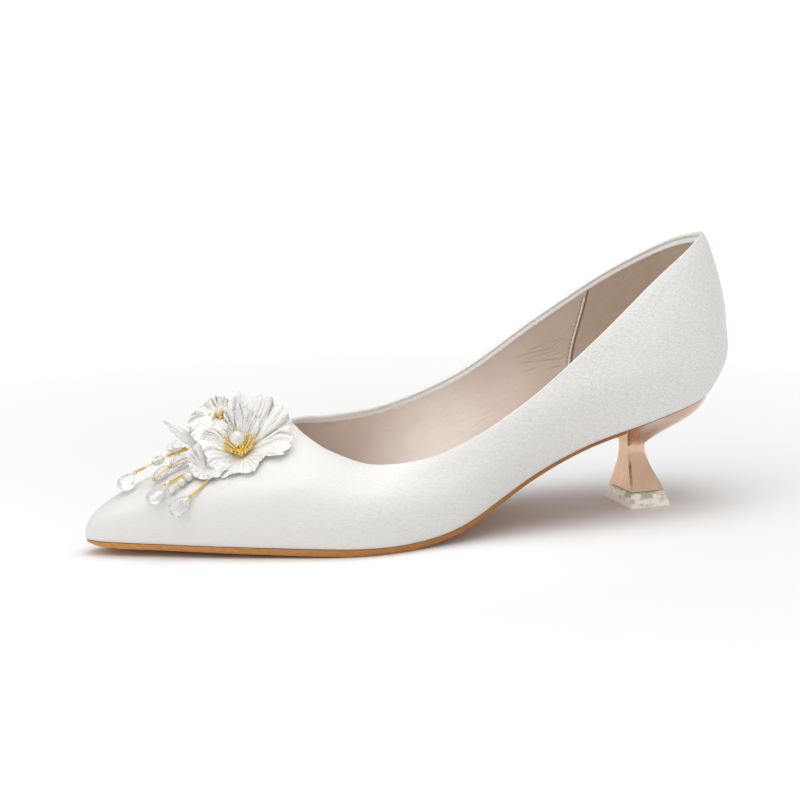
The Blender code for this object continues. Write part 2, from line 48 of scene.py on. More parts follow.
# ribs of the upper, toe to heel: sole edge and topline places as shares of the shoe's sizes,
# then the four lengths in mm that bow each rib
ribNames = ("station", "edgeLateral", "edgeMedial", "topStation", "topLateral", "topMedial",
            "topZLateral", "topZMedial", "rise", "flare", "reach", "drop")
ribRows = (
    (0.000, -0.087, 0.087, 0.305, -0.022, 0.022, 0.427, 0.427, 17.0, 2.0, 34.0, 18.0),
    (0.013, -0.022, 0.152, 0.309, 0.036, 0.080, 0.418, 0.424, 17.0, 2.0, 33.0, 17.0),
    (0.093, 0.130, 0.254, 0.322, 0.109, 0.145, 0.385, 0.414, 18.0, 2.5, 28.0, 13.0),
    (0.219, 0.333, 0.384, 0.354, 0.203, 0.239, 0.334, 0.404, 20.0, 4.0, 20.0, 8.0),
    (0.371, 0.507, 0.493, 0.417, 0.312, 0.333, 0.290, 0.388, 16.0, 4.5, 10.0, 8.0),
    (0.497, 0.464, 0.420, 0.509, 0.384, 0.391, 0.321, 0.402, 14.0, 5.0, 5.0, 10.0),
    (0.632, 0.355, 0.326, 0.632, 0.406, 0.406, 0.467, 0.497, 16.0, 6.5, 3.0, 12.0),
    (0.758, 0.326, 0.319, 0.758, 0.362, 0.370, 0.673, 0.686, 20.0, 8.0, 5.0, 16.0),
    (0.872, 0.333, 0.333, 0.872, 0.268, 0.268, 0.863, 0.863, 22.0, 8.5, 8.5, 20.0),
    (0.966, 0.236, 0.236, 0.960, 0.147, 0.147, 0.972, 0.970, 12.2, 11.4, 7.7, 22.5),
    (1.006, 0.000, 0.000, 0.999, 0.000, 0.000, 1.000, 1.000, 14.5, 10.2, 9.1, 23.3),
)
# the sole edge: stations as shares of the length, and heights as shares of the heel's
edgeRows = ((0.0, 0.133), (0.084, 0.121), (0.189, 0.105), (0.295, 0.086), (0.371, 0.071), (0.438, 0.069),
            (0.488, 0.093), (0.539, 0.160), (0.602, 0.314), (0.661, 0.481), (0.737, 0.657), (0.821, 0.795),
            (0.905, 0.907), (1.008, 1.030))


def unit(rows):
    return rows / np.linalg.norm(rows, axis=-1, keepdims=True)


def bell(distance, width):
    return np.exp(-(distance / width) ** 2)


def ease(share):
    share = np.clip(share, 0.0, 1.0)
    return share * share * (3 - 2 * share)


def runLengths(points):
    # how far along a line each of its points lies
    return np.concatenate([[0.0], np.cumsum(np.linalg.norm(np.diff(points, axis=0), axis=1))])


def spline(knots, values, at, period=0.0):
    # a smooth curve through the values, as the solids use
    knots = np.asarray(knots, float)
    values = np.asarray(values, float)
    if period:
        knots = np.concatenate([knots[-2:] - period, knots, knots[:3] + period])
        values = np.concatenate([values[-2:], values, values[:3]])
    step = np.diff(knots)
    rate = np.diff(values, axis=0) / step[:, None]
    before, after = step[:-1, None], step[1:, None]
    slope = np.vstack([rate[:1], (rate[:-1] * after + rate[1:] * before) / (before + after), rate[-1:]])
    at = np.asarray(at, float)
    i = np.clip(np.searchsorted(knots, at, side="right") - 1, 0, len(step) - 1)
    h = step[i][:, None]
    q = ((at - knots[i]) / step[i])[:, None]
    return ((1 + 2 * q) * (1 - q) ** 2 * values[i] + q * (1 - q) ** 2 * h * slope[i]
            + q * q * (3 - 2 * q) * values[i + 1] + q * q * (q - 1) * h * slope[i + 1])


def edgeHeight(station):
    rows = np.array(edgeRows)
    return spline(rows[:, 0] * shoe["length"], rows[:, 1:] * shoe["heelHeight"], np.ravel(station))[:, 0]


def ringOutward(points):
    along = unit(np.roll(points, -1, 0) - np.roll(points, 1, 0))
    return np.column_stack([along[:, 1], -along[:, 0]])


def ribControls(fine):
    # the four corners of each rib's curve: sole edge, flare, reach and topline
    rows = [dict(zip(ribNames, row)) for row in ribRows]
    sides = [(row, "Lateral", -1) for row in rows] + [(row, "Medial", 1) for row in rows[-2:0:-1]]
    edge = np.array([(row["station"] * shoe["length"], sign * row["edge" + side] * shoe["ballWidth"])
                     for row, side, sign in sides])
    top = np.array([(row["topStation"] * shoe["length"], sign * row["top" + side] * shoe["ballWidth"],
                     row["topZ" + side] * shoe["collarHeight"]) for row, side, sign in sides])
    bow = np.array([[row[name] for name in ribNames[-4:]] for row, side, sign in sides])
    chords = np.sqrt(np.linalg.norm(np.diff(np.vstack([edge, edge[:1]]), axis=0), axis=1))
    knots = np.concatenate([[0.0], np.cumsum(chords)])
    at = np.arange(fine) / fine * knots[-1]
    edge, top, bow = (spline(knots[:-1], rows, at, knots[-1]) for rows in (edge, top, bow))
    rise, flare, reach, drop = (bow[:, k:k + 1] for k in range(4))
    height = edgeHeight(edge[:, 0])[:, None]
    return (np.hstack([edge, height]), np.hstack([edge + ringOutward(edge) * flare, height + rise]),
            np.hstack([top[:, :2] + ringOutward(top[:, :2]) * reach, top[:, 2:] - drop]), top)


controls = ribControls(shoe["ringSteps"])
origin = np.array([shoe["originStation"], shoe["originSide"], 0.0])


def upperAt(turn, way):
    # points of the upper's outside in mm: turn runs round from the toe, way up the rib from the sole
    turn, way = np.broadcast_arrays(np.asarray(turn, float), np.asarray(way, float))
    place = (turn % 1.0) * len(controls[0])
    i = place.astype(int) % len(controls[0])
    q = (place - np.floor(place))[..., None]
    a, b, c, d = ((1 - q) * k[i] + q * k[(i + 1) % len(k)] for k in controls)
    w = way[..., None]
    return (1 - w) ** 3 * a + 3 * (1 - w) ** 2 * w * b + 3 * (1 - w) * w * w * c + w ** 3 * d - origin


def upperFrame(turn, way, step=0.004):
    # point, outward normal and direction up the rib
    along = upperAt(turn + step, way) - upperAt(turn - step, way)
    up = upperAt(turn, way + step) - upperAt(turn, way - step)
    return upperAt(turn, way), unit(np.cross(along, up)), unit(up)


def lifted(turn, way, lift):
    point, normal = upperFrame(turn, way)[:2]
    return point + normal * lift


# mesh helpers: points are in mm, meshes in metres

def roundAngles(count):
    # angles once round, ending on the first again
    angle = np.linspace(0.0, 2 * math.pi, count + 1)
    angle[-1] = 0.0
    return angle


def smoothPath(points, count):
    # a smooth line through a few points, in even steps
    points = np.asarray(points, float)
    knots = runLengths(points)
    return spline(knots, points, np.linspace(0.0, knots[-1], count))


def pointsAt(at, run, rows):
    return np.column_stack([np.interp(at, run, rows[:, k]) for k in range(3)])


def toMesh(bm, name):
    mesh = bpy.data.meshes.new(name)
    bm.to_mesh(mesh)
    bm.free()
    return mesh


def gridMesh(name, points, uv=None, shell=False):
    # a flat grid whose corners are moved to points[column, row]; touching sides are sewn up
    columns, rows = points.shape[0] - 1, points.shape[1] - 1
    bm = bmesh.new()
    bm.loops.layers.uv.new("UVMap")
    bmesh.ops.create_grid(bm, x_segments=columns, y_segments=rows, size=0.5, calc_uvs=True)
    mesh = toMesh(bm, name)
    flat = np.empty(len(mesh.vertices) * 3, np.float32)
    mesh.vertices.foreach_get("co", flat)
    i, j = np.rint((flat.reshape(-1, 3)[:, :2].T + 0.5) * np.array([[columns], [rows]])).astype(int)
    mesh.vertices.foreach_set("co", (points[i, j] * mm).astype(np.float32).ravel())
    if uv is not None:
        corners = np.empty(len(mesh.loops), np.int32)
        mesh.loops.foreach_get("vertex_index", corners)
        mesh.uv_layers["UVMap"].data.foreach_set("uv", uv[i, j][corners].astype(np.float32).ravel())
    bm = bmesh.new()
    bm.from_mesh(mesh)
    bmesh.ops.remove_doubles(bm, verts=bm.verts, dist=weld)
    if shell:
        bmesh.ops.holes_fill(bm, edges=[e for e in bm.edges if e.is_boundary], sides=0)
        bmesh.ops.recalc_face_normals(bm, faces=bm.faces)
    bm.to_mesh(mesh)
    bm.free()
    return mesh


def joinMeshes(name, meshes):
    bm = bmesh.new()
    for mesh in meshes:
        bm.from_mesh(mesh)
        bpy.data.meshes.remove(mesh)
    return toMesh(bm, name)


def tubeMesh(path, radius, sides=10):
    # a round bar along a path, closed at both ends
    path = np.asarray(path, float)
    radius = np.broadcast_to(np.asarray(radius, float), (len(path),))
    along = unit(np.gradient(path, axis=0))
    across = np.cross(along[0], (0.0, 0.0, 1.0) if abs(along[0][2]) < 0.9 else (1.0, 0.0, 0.0))
    frames = []
    for step in along:
        across = unit(across - step * np.dot(across, step))
        frames.append(across)
    frames = np.array(frames)
    side = np.cross(along, frames)
    path, frames, side = (np.vstack([rows[:1], rows, rows[-1:]]) for rows in (path, frames, side))
    radius = np.concatenate([[0.0], radius, [0.0]])
    angle = roundAngles(sides)[:, None, None]
    points = path + radius[:, None] * (np.cos(angle) * frames + np.sin(angle) * side)
    return gridMesh("tube", points, shell=True)


def ringMesh(centre, axis, radius, wire, count=36, sides=8):
    axis = unit(np.asarray(axis, float))
    across = unit(np.cross(axis, (0.3, 0.9, 0.2)))
    angle, turn = roundAngles(count)[:, None, None], roundAngles(sides)[None, :, None]
    spoke = np.cos(angle) * across + np.sin(angle) * np.cross(axis, across)
    points = centre + spoke * (radius + wire * np.cos(turn)) + axis * wire * np.sin(turn)
    return gridMesh("ring", points, shell=True)


def ballMesh(centre, radius, segments=40):
    bm = bmesh.new()
    bm.loops.layers.uv.new("UVMap")
    bmesh.ops.create_uvsphere(bm, u_segments=segments, v_segments=segments // 2, radius=radius * mm)
    bmesh.ops.translate(bm, vec=Vector(np.asarray(centre) * mm), verts=bm.verts)
    return toMesh(bm, "ball")


def cutEdges(bm, width, segments):
    bmesh.ops.bevel(bm, geom=bm.edges, offset=width * mm, segments=segments, profile=0.5,
                    affect="EDGES", material=-1)


def inScene(name, data):
    made = bpy.data.objects.new(name, data)
    bpy.context.scene.collection.objects.link(made)
    return made


def addPiece(name, mesh, look, replaces=(), sharp=None):
    mesh.name = name
    mesh.materials.append(looks[look])
    mesh.polygons.foreach_set("use_smooth", np.ones(len(mesh.polygons), bool))
    if sharp:
        mesh.set_sharp_from_angle(angle=math.radians(sharp))
    piece = inScene(name, mesh)
    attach(piece, "root")
    if replaces:
        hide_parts(*replaces)
    return piece


def thicken(piece, thickness):
    wall = piece.modifiers.new("cloth", "SOLIDIFY")
    wall.thickness = thickness * mm
    wall.offset = 0.0


# finishes: sizes of grains and depths of bumps are in mm, colour stops are (place, red, green, blue)
white = (1.0, 1.0, 1.0)


def node(tree, kind, sockets=None, **settings):
    made = tree.nodes.new("ShaderNode" + kind)
    for key, value in settings.items():
        setattr(made, key, value)
    for key, value in (sockets or {}).items():
        if isinstance(value, bpy.types.NodeSocket):
            tree.links.new(value, made.inputs[key])
        else:
            made.inputs[key].default_value = value
    return made


def newLook(name, constants):
    made = bpy.data.materials.new(name)
    made.use_nodes = True
    shader = made.node_tree.nodes["Principled BSDF"]
    for key, value in constants.items():
        shader.inputs[key].default_value = value
    return made, made.node_tree, shader


def clothUv(tree):
    return node(tree, "UVMap", uv_map="UVMap").outputs["UV"]


def objectPlace(tree):
    return node(tree, "TexCoord").outputs["Object"]


def axisOf(tree, source, axis):
    return node(tree, "SeparateXYZ", {"Vector": source}).outputs[axis]


def pattern(tree, source, size, detail=2.0, rough=0.5):
    # noise with grains of the given size along each axis of its source
    scale = [1.0 / (mm * length) for length in size]
    turned = node(tree, "Mapping", {"Vector": source, "Scale": scale})
    sockets = {"Vector": turned.outputs["Vector"], "Scale": 1.0, "Detail": detail, "Roughness": rough}
    return node(tree, "TexNoise", sockets).outputs["Fac"]


def shades(tree, factor, stops):
    ramp = node(tree, "ValToRGB", {"Fac": factor})
    while len(ramp.color_ramp.elements) < len(stops):
        ramp.color_ramp.elements.new(1.0)
    for element, stop in zip(ramp.color_ramp.elements, stops):
        element.position = stop[0]
        element.color = (*stop[1:], 1.0)
    return ramp.outputs["Color"]


def ranged(tree, value, source, target):
    sockets = {"Value": value, "From Min": source[0], "From Max": source[1],
               "To Min": target[0], "To Max": target[1]}
    return node(tree, "MapRange", sockets).outputs["Result"]


def multiplied(tree, first, second):
    sockets = {"Factor": 1.0, "A": first, "B": second}
    return node(tree, "Mix", sockets, data_type="RGBA", blend_type="MULTIPLY").outputs["Result"]


def linked(socket):
    return socket.links[0].from_socket if socket.links else None


def bumps(tree, shader, layers):
    # heights laid over each other, and over those that are there
    normal = linked(shader.inputs["Normal"])
    for height, depth in layers:
        sockets = {"Height": height, "Distance": depth * mm, "Strength": 1.0}
        if normal:
            sockets["Normal"] = normal
        normal = node(tree, "Bump", sockets).outputs["Normal"]
    tree.links.new(normal, shader.inputs["Normal"])


def cover(tree, shader, colour, rough, layers):
    # rough is a noise, and the roughness at its low and high grains
    noise, low, high = rough
    tree.links.new(colour, shader.inputs["Base Color"])
    tree.links.new(ranged(tree, noise, (0.3, 0.7), (low, high)), shader.inputs["Roughness"])
    bumps(tree, shader, layers)


def satinLook():
    made, tree, shader = newLook("ivory_satin", {
        "Specular IOR Level": 0.6, "Anisotropic": 0.5, "Sheen Weight": 0.15, "Sheen Roughness": 0.4})
    cloth = clothUv(tree)
    slub = pattern(tree, cloth, (2.6, 0.42, 1.0))
    thread = pattern(tree, cloth, (1.3, 0.26, 1.0), rough=0.6)
    weave = node(tree, "Mix", {"Factor": 0.68, "A": slub, "B": thread}).outputs["Result"]
    # the weave shows less at the toe than at the heel
    shown = ranged(tree, axisOf(tree, objectPlace(tree), "X"), (-0.07, 0.06), (0.6, 2.3))
    weave = node(tree, "Math", {0: weave, 1: 0.5}, operation="SUBTRACT").outputs[0]
    weave = node(tree, "Math", {0: weave, 1: shown, 2: 0.5}, operation="MULTIPLY_ADD").outputs[0]
    ivory = ((0.22, 0.65, 0.625, 0.59), (0.50, 0.75, 0.735, 0.71), (0.78, 0.85, 0.845, 0.83))
    grainLine = node(tree, "Tangent", direction_type="UV_MAP", uv_map="UVMap").outputs["Tangent"]
    tree.links.new(grainLine, shader.inputs["Tangent"])
    cover(tree, shader, shades(tree, weave, ivory), (thread, 0.28, 0.48), ((slub, 0.06), (thread, 0.05)))
    return made


def leatherLook(name, dark, light):
    made, tree, shader = newLook(name, {"Specular IOR Level": 0.4})
    place = objectPlace(tree)
    cloud = pattern(tree, place, (14.0, 14.0, 14.0), 3.0)
    pores = node(tree, "TexVoronoi", {"Vector": place, "Scale": 1.0 / (0.55 * mm)}).outputs["Distance"]
    fine = pattern(tree, place, (0.35, 0.35, 0.35))
    colour = shades(tree, cloud, ((0.3, *dark), (0.7, *light)))
    cover(tree, shader, colour, (fine, 0.42, 0.58), ((pores, 0.03), (fine, 0.02)))
    return made


def liningLook():
    made = leatherLook("beige_lining", (0.86, 0.765, 0.705), (0.93, 0.84, 0.785))
    tree, shader = made.node_tree, made.node_tree.nodes["Principled BSDF"]
    # the map holds painted light and shade on the leather, and a painted shadow in the gap by the seam
    paintedLight, unshadowed = (axisOf(tree, clothUv(tree), axis) for axis in "XY")
    tone = shades(tree, paintedLight, ((0.0, 0.635, 0.575, 0.50), (0.35, 0.71, 0.645, 0.585), (1.0, *white)))
    # painted shadow in the gap beside the seam
    gap = shades(tree, unshadowed, ((0.0, 0.55, 0.44, 0.33), (1.0, *white)))
    colour = multiplied(tree, multiplied(tree, linked(shader.inputs["Base Color"]), tone), gap)
    tree.links.new(colour, shader.inputs["Base Color"])
    # fine wrinkles that run with the slope of the topline
    slope = node(tree, "Mapping", {"Vector": objectPlace(tree), "Rotation": (0.0, math.radians(28.0), 0.0)})
    wrinkle = pattern(tree, slope.outputs["Vector"], (7.0, 7.0, 1.1), 1.5)
    bumps(tree, shader, ((wrinkle, 0.3),))
    return made


def soleLook():
    made, tree, shader = newLook("brown_sole", {"Specular IOR Level": 0.2})
    place = objectPlace(tree)
    along = ranged(tree, axisOf(tree, place, "X"), (-0.11, 0.06), (0.0, 1.0))
    darker = shades(tree, along, ((0.0, *white), (0.45, 0.82, 0.78, 0.72), (1.0, 0.62, 0.52, 0.42)))
    streak = pattern(tree, place, (9.0, 1.2, 0.35), 4.0, 0.6)
    scuff = pattern(tree, place, (1.5, 0.5, 0.5), 5.0, 0.7)
    brown = ((0.3, 0.46, 0.195, 0.055), (0.55, 0.60, 0.27, 0.085), (0.75, 0.70, 0.36, 0.13))
    colour = multiplied(tree, shades(tree, streak, brown), darker)
    cover(tree, shader, colour, (scuff, 0.32, 0.52), ((streak, 0.03), (scuff, 0.02)))
    return made


def roseGoldLook():
    made, tree, shader = newLook("rose_gold", {"Metallic": 1.0})
    place = objectPlace(tree)
    brushed = pattern(tree, place, (0.25, 0.25, 9.0), 3.0)
    cloud = pattern(tree, place, (6.0, 6.0, 9.0))
    colour = shades(tree, cloud, ((0.3, 0.72, 0.47, 0.325), (0.7, 0.78, 0.53, 0.375)))
    cover(tree, shader, colour, (brushed, 0.20, 0.30), ((brushed, 0.0012),))
    return made


def clearLook(name, tint, mottle, paintedEdgeShade, size, index, through, inner, rise=0.0, tall=6.0):
    # inner is a painted glow the clear piece gives off; rise gathers the mottling at its top, tall mm up
    made, tree, shader = newLook(name, {
        "Transmission Weight": through, "IOR": index, "Coat Weight": 0.5, "Coat Roughness": 0.03,
        "Emission Strength": 1.0, "Emission Color": (*inner, 1.0)})
    place = objectPlace(tree)
    # on the tip the mottling is partly its own flecks and partly a painted reflection of the heel above
    lean = ranged(tree, axisOf(tree, place, "Z"), (0.0, tall * mm), (0.5 * rise, -0.5 * rise))
    cloud = pattern(tree, place, size, 2.0, 0.45)
    cloud = node(tree, "Math", {0: cloud, 1: lean}, operation="ADD").outputs[0]
    body = shades(tree, cloud, ((0.32, *mottle), (0.54, *tint)))
    # clear edges are painted darker: partly their thickness, partly painted shade for the dark refraction
    # there
    edge = node(tree, "LayerWeight", {"Blend": 0.35}).outputs["Facing"]
    edgeShading = shades(tree, edge, ((0.45, *white), (0.8, *paintedEdgeShade)))
    cover(tree, shader, multiplied(tree, body, edgeShading), (cloud, 0.02, 0.08), ((cloud, 0.02),))
    return made


def petalLook():
    made, tree, shader = newLook("pleated_silk", {
        "Specular IOR Level": 0.6, "Coat Weight": 0.8, "Coat Roughness": 0.08,
        "Subsurface Weight": 0.3, "Subsurface Radius": white, "Subsurface Scale": 0.5 * mm})
    # the sheet's map holds painted shade in the fold valleys, and the reach from the hub
    fold, reach = (axisOf(tree, clothUv(tree), axis) for axis in "XY")
    fibre = pattern(tree, objectPlace(tree), (0.4, 0.4, 0.4), 3.0, 0.6)
    crinkle = pattern(tree, objectPlace(tree), (0.8, 0.8, 0.8), 2.0, 0.6)
    # painted shade in the fold valleys, with a real fibre grain laid over it
    foldShadeAndFibre = node(tree, "Math", {0: fibre, 1: 0.5, 2: fold}, operation="MULTIPLY_ADD").outputs[0]
    foldShadeTones = ((0.53, 0.40, 0.355, 0.28), (0.76, 0.78, 0.76, 0.72), (1.0, 0.93, 0.925, 0.905))
    tone = shades(tree, foldShadeAndFibre, foldShadeTones)
    root = shades(tree, reach, ((0.05, 0.86, 0.74, 0.52), (0.3, 0.97, 0.93, 0.84), (0.6, *white)))
    cover(tree, shader, multiplied(tree, tone, root), (fibre, 0.14, 0.32), ((crinkle, 0.3), (fibre, 0.08)))
    return made


def beadLook(name, constants, grain, detail, stops, rough, depth):
    # one cloud of grains gives a small piece its colour, roughness and bump
    made, tree, shader = newLook(name, constants)
    cloud = pattern(tree, objectPlace(tree), (grain, grain, grain), detail)
    cover(tree, shader, shades(tree, cloud, stops), (cloud, *rough), ((cloud, depth),))
    return made


looks = dict(
    satin=satinLook(),
    lining=liningLook(),
    sock=leatherLook("beige_sock", (0.93, 0.86, 0.81), (0.97, 0.91, 0.87)),
    thread=leatherLook("lining_thread", (0.90, 0.82, 0.76), (0.96, 0.90, 0.85)),
    # stitch holes: a dark colour as painted shade in the needle holes
    hole=leatherLook("stitch_hole", (0.14, 0.09, 0.07), (0.22, 0.15, 0.12)),
    sole=soleLook(),
    roseGold=roseGoldLook(),
    # the tip and the drops: inner is a painted glow, and their edges carry painted shade
    tip=clearLook("clear_tip", tint=(1.0, 0.95, 0.84), mottle=(0.46, 0.39, 0.29),
                  paintedEdgeShade=(0.88, 0.84, 0.77), size=(3.4, 3.4, 2.2), index=1.49, through=0.08,
                  inner=(0.09, 0.084, 0.074), rise=0.3),
    crystal=clearLook("clear_drop", tint=(0.99, 0.99, 0.99), mottle=(0.93, 0.93, 0.93),
                      paintedEdgeShade=(0.45, 0.45, 0.45), size=(1.5, 1.5, 1.5), index=1.45, through=0.8,
                      inner=(0.025, 0.025, 0.025)),
    petal=petalLook(),
    gold=beadLook("gold_wire", {"Metallic": 1.0}, grain=0.6, detail=3.0, rough=(0.11, 0.26), depth=0.02,
                  stops=((0.3, 0.78, 0.48, 0.08), (0.7, 0.98, 0.72, 0.22))),
    pearl=beadLook("pearl", {"Specular IOR Level": 0.7, "Coat Weight": 1.0, "Coat Roughness": 0.05,
                             "Thin Film Thickness": 420.0, "Thin Film IOR": 1.45},
                   grain=1.6, detail=2.0, rough=(0.16, 0.26), depth=0.01,
                   stops=((0.3, 0.68, 0.61, 0.56), (0.7, 0.80, 0.76, 0.73))),
)
print("finishes:", len(looks))

# satin upper: outside, rolled topline, turned-in edge and a hidden back face, one closed ring
satinUpper = dict(
    columns=640, rows=60, rowEase=1.4,  # rows lie closer together towards the topline
    hiddenRows=8, hiddenTop=2.8,  # the hidden face starts so many mm below the topline
    layer=0.95,  # mm of cloth and stiffener; the lining fills the rest of the wall
    # the turned-in edge: mm below the topline and mm proud of the inner face, a groove and a soft lip
    fold=((0.25, -0.28), (0.5, -0.2), (0.9, 0.14), (1.4, 0.5), (1.85, 0.72), (2.15, 0.7), (2.4, 0.45),
          (2.6, 0.0)),
    # the outside rounds inwards up to a soft roll: mm, and degrees from row to row of the roll
    rimInset=0.45, rimRound=4.5, rollTop=0.6, rollStep=15,
    backRise=1.1, backSpread=0.055,  # the roll stands higher at the back seam
    tuck=((0.5, -0.16), (2.2, -0.2)),  # mm inwards and up, under the shoe
)
# soft pulls in the cloth: from (turn, way) to (turn, way), depth and half width in mm
satinPulls = (
    (0.452, 0.955, 0.436, 0.880, 0.16, 0.9),
    (0.441, 0.950, 0.424, 0.890, 0.14, 0.8),
    (0.428, 0.955, 0.409, 0.885, 0.14, 0.9),
    (0.413, 0.955, 0.398, 0.905, 0.11, 0.8),
    (0.250, 0.80, 0.300, 0.62, 0.12, 3.2),
    (0.270, 0.88, 0.330, 0.74, 0.12, 2.6),
    (0.150, 0.30, 0.230, 0.36, 0.10, 4.0),
    (0.530, 0.30, 0.340, 0.36, -0.80, 6.5),
    (0.410, 0.30, 0.300, 0.84, -0.50, 6.0),
    (0.560, 0.93, 0.575, 0.86, 0.14, 0.9),
    (0.720, 0.82, 0.680, 0.62, 0.12, 3.0),
)
pullLine = dict(steps=13, fade=0.7)  # fade thins a pull out at its ends and sides


def ringColumns(columns):
    return np.linspace(0.0, 1.0, columns + 1)[:, None]


def ribLengths(points):
    step = np.linalg.norm(np.diff(points, axis=1), axis=2)
    return np.concatenate([np.zeros((len(points), 1)), np.cumsum(step, axis=1)], axis=1)


def roundLengths(turn):
    return runLengths(upperAt(turn[:, 0], 0.5))[:, None]


def ribSpeed(turn, step=0.01):
    # mm up the rib for each share of way, at the topline
    return np.linalg.norm(upperAt(turn, 1.0) - upperAt(turn, 1.0 - step), axis=2) / step


def pullRelief(turn, way, pulls):
    # each pull is a shallow trough between two low ridges
    total = np.zeros(np.broadcast_shapes(turn.shape, way.shape))
    points = upperAt(turn, way)
    steps, fade = pullLine["steps"], pullLine["fade"]
    for turn0, way0, turn1, way1, depth, width in pulls:
        line = upperAt(np.linspace(turn0, turn1, steps), np.linspace(way0, way1, steps))
        nearest = np.full(total.shape, np.inf)
        share = np.zeros(total.shape)
        for k, (a, b) in enumerate(zip(line, line[1:])):
            q = np.clip(((points - a) @ (b - a)) / np.dot(b - a, b - a), 0.0, 1.0)
            away = np.linalg.norm(points - a - q[..., None] * (b - a), axis=2)
            share = np.where(away < nearest, (k + q) / (len(line) - 1), share)
            nearest = np.minimum(nearest, away)
        across = (nearest / width) ** 2
        total -= depth * np.sin(math.pi * share) ** fade * (1 - across) * np.exp(-fade * across)
    return total


def makeSatinUpper(size):
    turn = ringColumns(size["columns"])
    radius = 0.5 * shoe["wall"]
    point, normal, up = upperFrame(turn, np.ones_like(turn))
    share = 1 - (1 - np.linspace(0.0, 1.0, size["rows"] + 1)) ** size["rowEase"]
    way = np.broadcast_to(share[None], (len(turn), len(share)))
    outside, outNormal = upperFrame(turn, way)[:2]
    height = ribLengths(outside)
    below = height[:, -1:] - height
    relief = pullRelief(turn, way, satinPulls)
    relief -= size["rimInset"] * np.clip(1 - below / size["rimRound"], 0.0, 1.0) ** 2
    outside = outside + outNormal * relief[..., None]
    inwards = -outNormal[:, :1] * [1, 1, 0]
    rows = [outside[:, :1] + inwards * inset + [0, 0, lift] for inset, lift in reversed(size["tuck"])]
    rows.append(outside)
    middle = point - normal * radius
    rollTop = size["rollTop"] + size["backRise"] * bell(turn - 0.5, size["backSpread"])[..., None]
    for angle in np.radians(np.arange(size["rollStep"], 181, size["rollStep"])):
        inset = size["rimInset"] * max(math.cos(angle), 0.0)
        rows.append(middle + normal * (radius * math.cos(angle) - inset) + up * rollTop * math.sin(angle))
    for depth, proud in size["fold"]:
        rows.append(middle - normal * (radius + proud) - up * depth)
    rows.append(middle - normal * (size["layer"] - radius) - up * size["fold"][-1][0])
    hidden = np.linspace(1.0, 0.0, size["hiddenRows"])[None] * (1 - size["hiddenTop"] / ribSpeed(turn))
    back, backNormal = upperFrame(turn, hidden)[:2]
    rows += [back - backNormal * size["layer"], rows[0]]
    points = np.concatenate(rows, axis=1)
    uv = np.stack(np.broadcast_arrays(roundLengths(turn), ribLengths(points)), axis=2) * mm
    piece = addPiece("satin_upper", gridMesh("satin_upper", points, uv, shell=True), "satin", ["upper"])
    print("satin upper:", len(piece.data.polygons), "faces")


makeSatinUpper(satinUpper)

# lining: the inner face with its turned top edge, heel seam and listed wrinkles
liningSheet = dict(
    columns=340, fineColumns=105, fineTurns=(0.60, 0.67), seamColumns=90, seamTurns=(0.606, 0.624),
    rows=112, rowEase=1.15, hiddenRows=6, foot=0.015,  # foot is the way of its lower edge
    layer=0.8, topEdge=2.3, edgeRound=0.3, tuckIn=0.1, backLap=0.05,  # mm
    seamTop=0.6101, seamFoot=0.6205,  # turn of the heel seam on the inner side
    # mm: the front lining laps over the counter lining, with a ridge ahead of the seam and a gap behind it
    seamStep=0.4, stepSlope=4.0, stepFade=9.0, seamRidge=0.3, ridgeAhead=0.6, ridgeWidth=0.45,
    # gapShade is how wide the painted shadow in the gap is, in mm
    seamGap=0.8, gapBehind=0.35, gapWidth=0.3, gapShade=0.42,
    # painted light and shade: lighter ahead of the seam, lightest along the waist, less near the top
    frontPaintedLight=0.35, frontBlend=6.0, waistPaintedLight=0.65, waistTop=0.35, paintedLightTurn=0.725, paintedLightSpread=0.045,
)
liningPulls = (
    (0.656, 0.685, 0.636, 0.645, 0.35, 0.55),
    (0.634, 0.630, 0.621, 0.575, 0.35, 0.50),
    (0.664, 0.735, 0.630, 0.520, 0.42, 0.60),
    (0.646, 0.490, 0.620, 0.341, 0.45, 0.60),
    (0.658, 0.590, 0.641, 0.470, 0.35, 0.55),
    (0.654, 0.435, 0.641, 0.390, 0.32, 0.55),
    (0.635, 0.475, 0.622, 0.420, 0.35, 0.50),
    (0.634, 0.335, 0.622, 0.280, 0.35, 0.55),
    (0.640, 0.545, 0.625, 0.572, 0.26, 0.50),
    (0.650, 0.580, 0.626, 0.470, 0.29, 0.50),
    (0.762, 0.760, 0.738, 0.640, 0.22, 0.70),
    (0.768, 0.690, 0.742, 0.580, 0.22, 0.70),
    (0.380, 0.80, 0.340, 0.60, 0.40, 0.80),
    (0.376, 0.66, 0.330, 0.50, 0.40, 0.80),
)
roundMm = float(roundLengths(ringColumns(200))[-1, 0])  # once round the shoe


def seamTurn(size, way):
    return size["seamFoot"] + (size["seamTop"] - size["seamFoot"]) * way


def seamAway(size, turn, way):
    # mm ahead of the heel seam, measured round the shoe on either side
    return (np.abs(turn - 0.5) - (seamTurn(size, way) - 0.5)) * roundMm


def liningPoint(size, turn, way, lift=0.0):
    # a point of the inner face
    point, normal = upperFrame(turn, way)[:2]
    ahead = seamAway(size, turn, way)
    fade = np.exp(-np.clip(ahead, 0.0, None) / size["stepFade"])
    step = size["seamStep"] * ease(size["stepSlope"] * ahead + 0.5) * fade
    step = step + size["seamRidge"] * bell(ahead - size["ridgeAhead"], size["ridgeWidth"])
    step = step - size["seamGap"] * bell(ahead + size["gapBehind"], size["gapWidth"])
    inwards = shoe["wall"] + step + lift + pullRelief(turn, way, liningPulls)
    return point - normal * inwards[..., None]


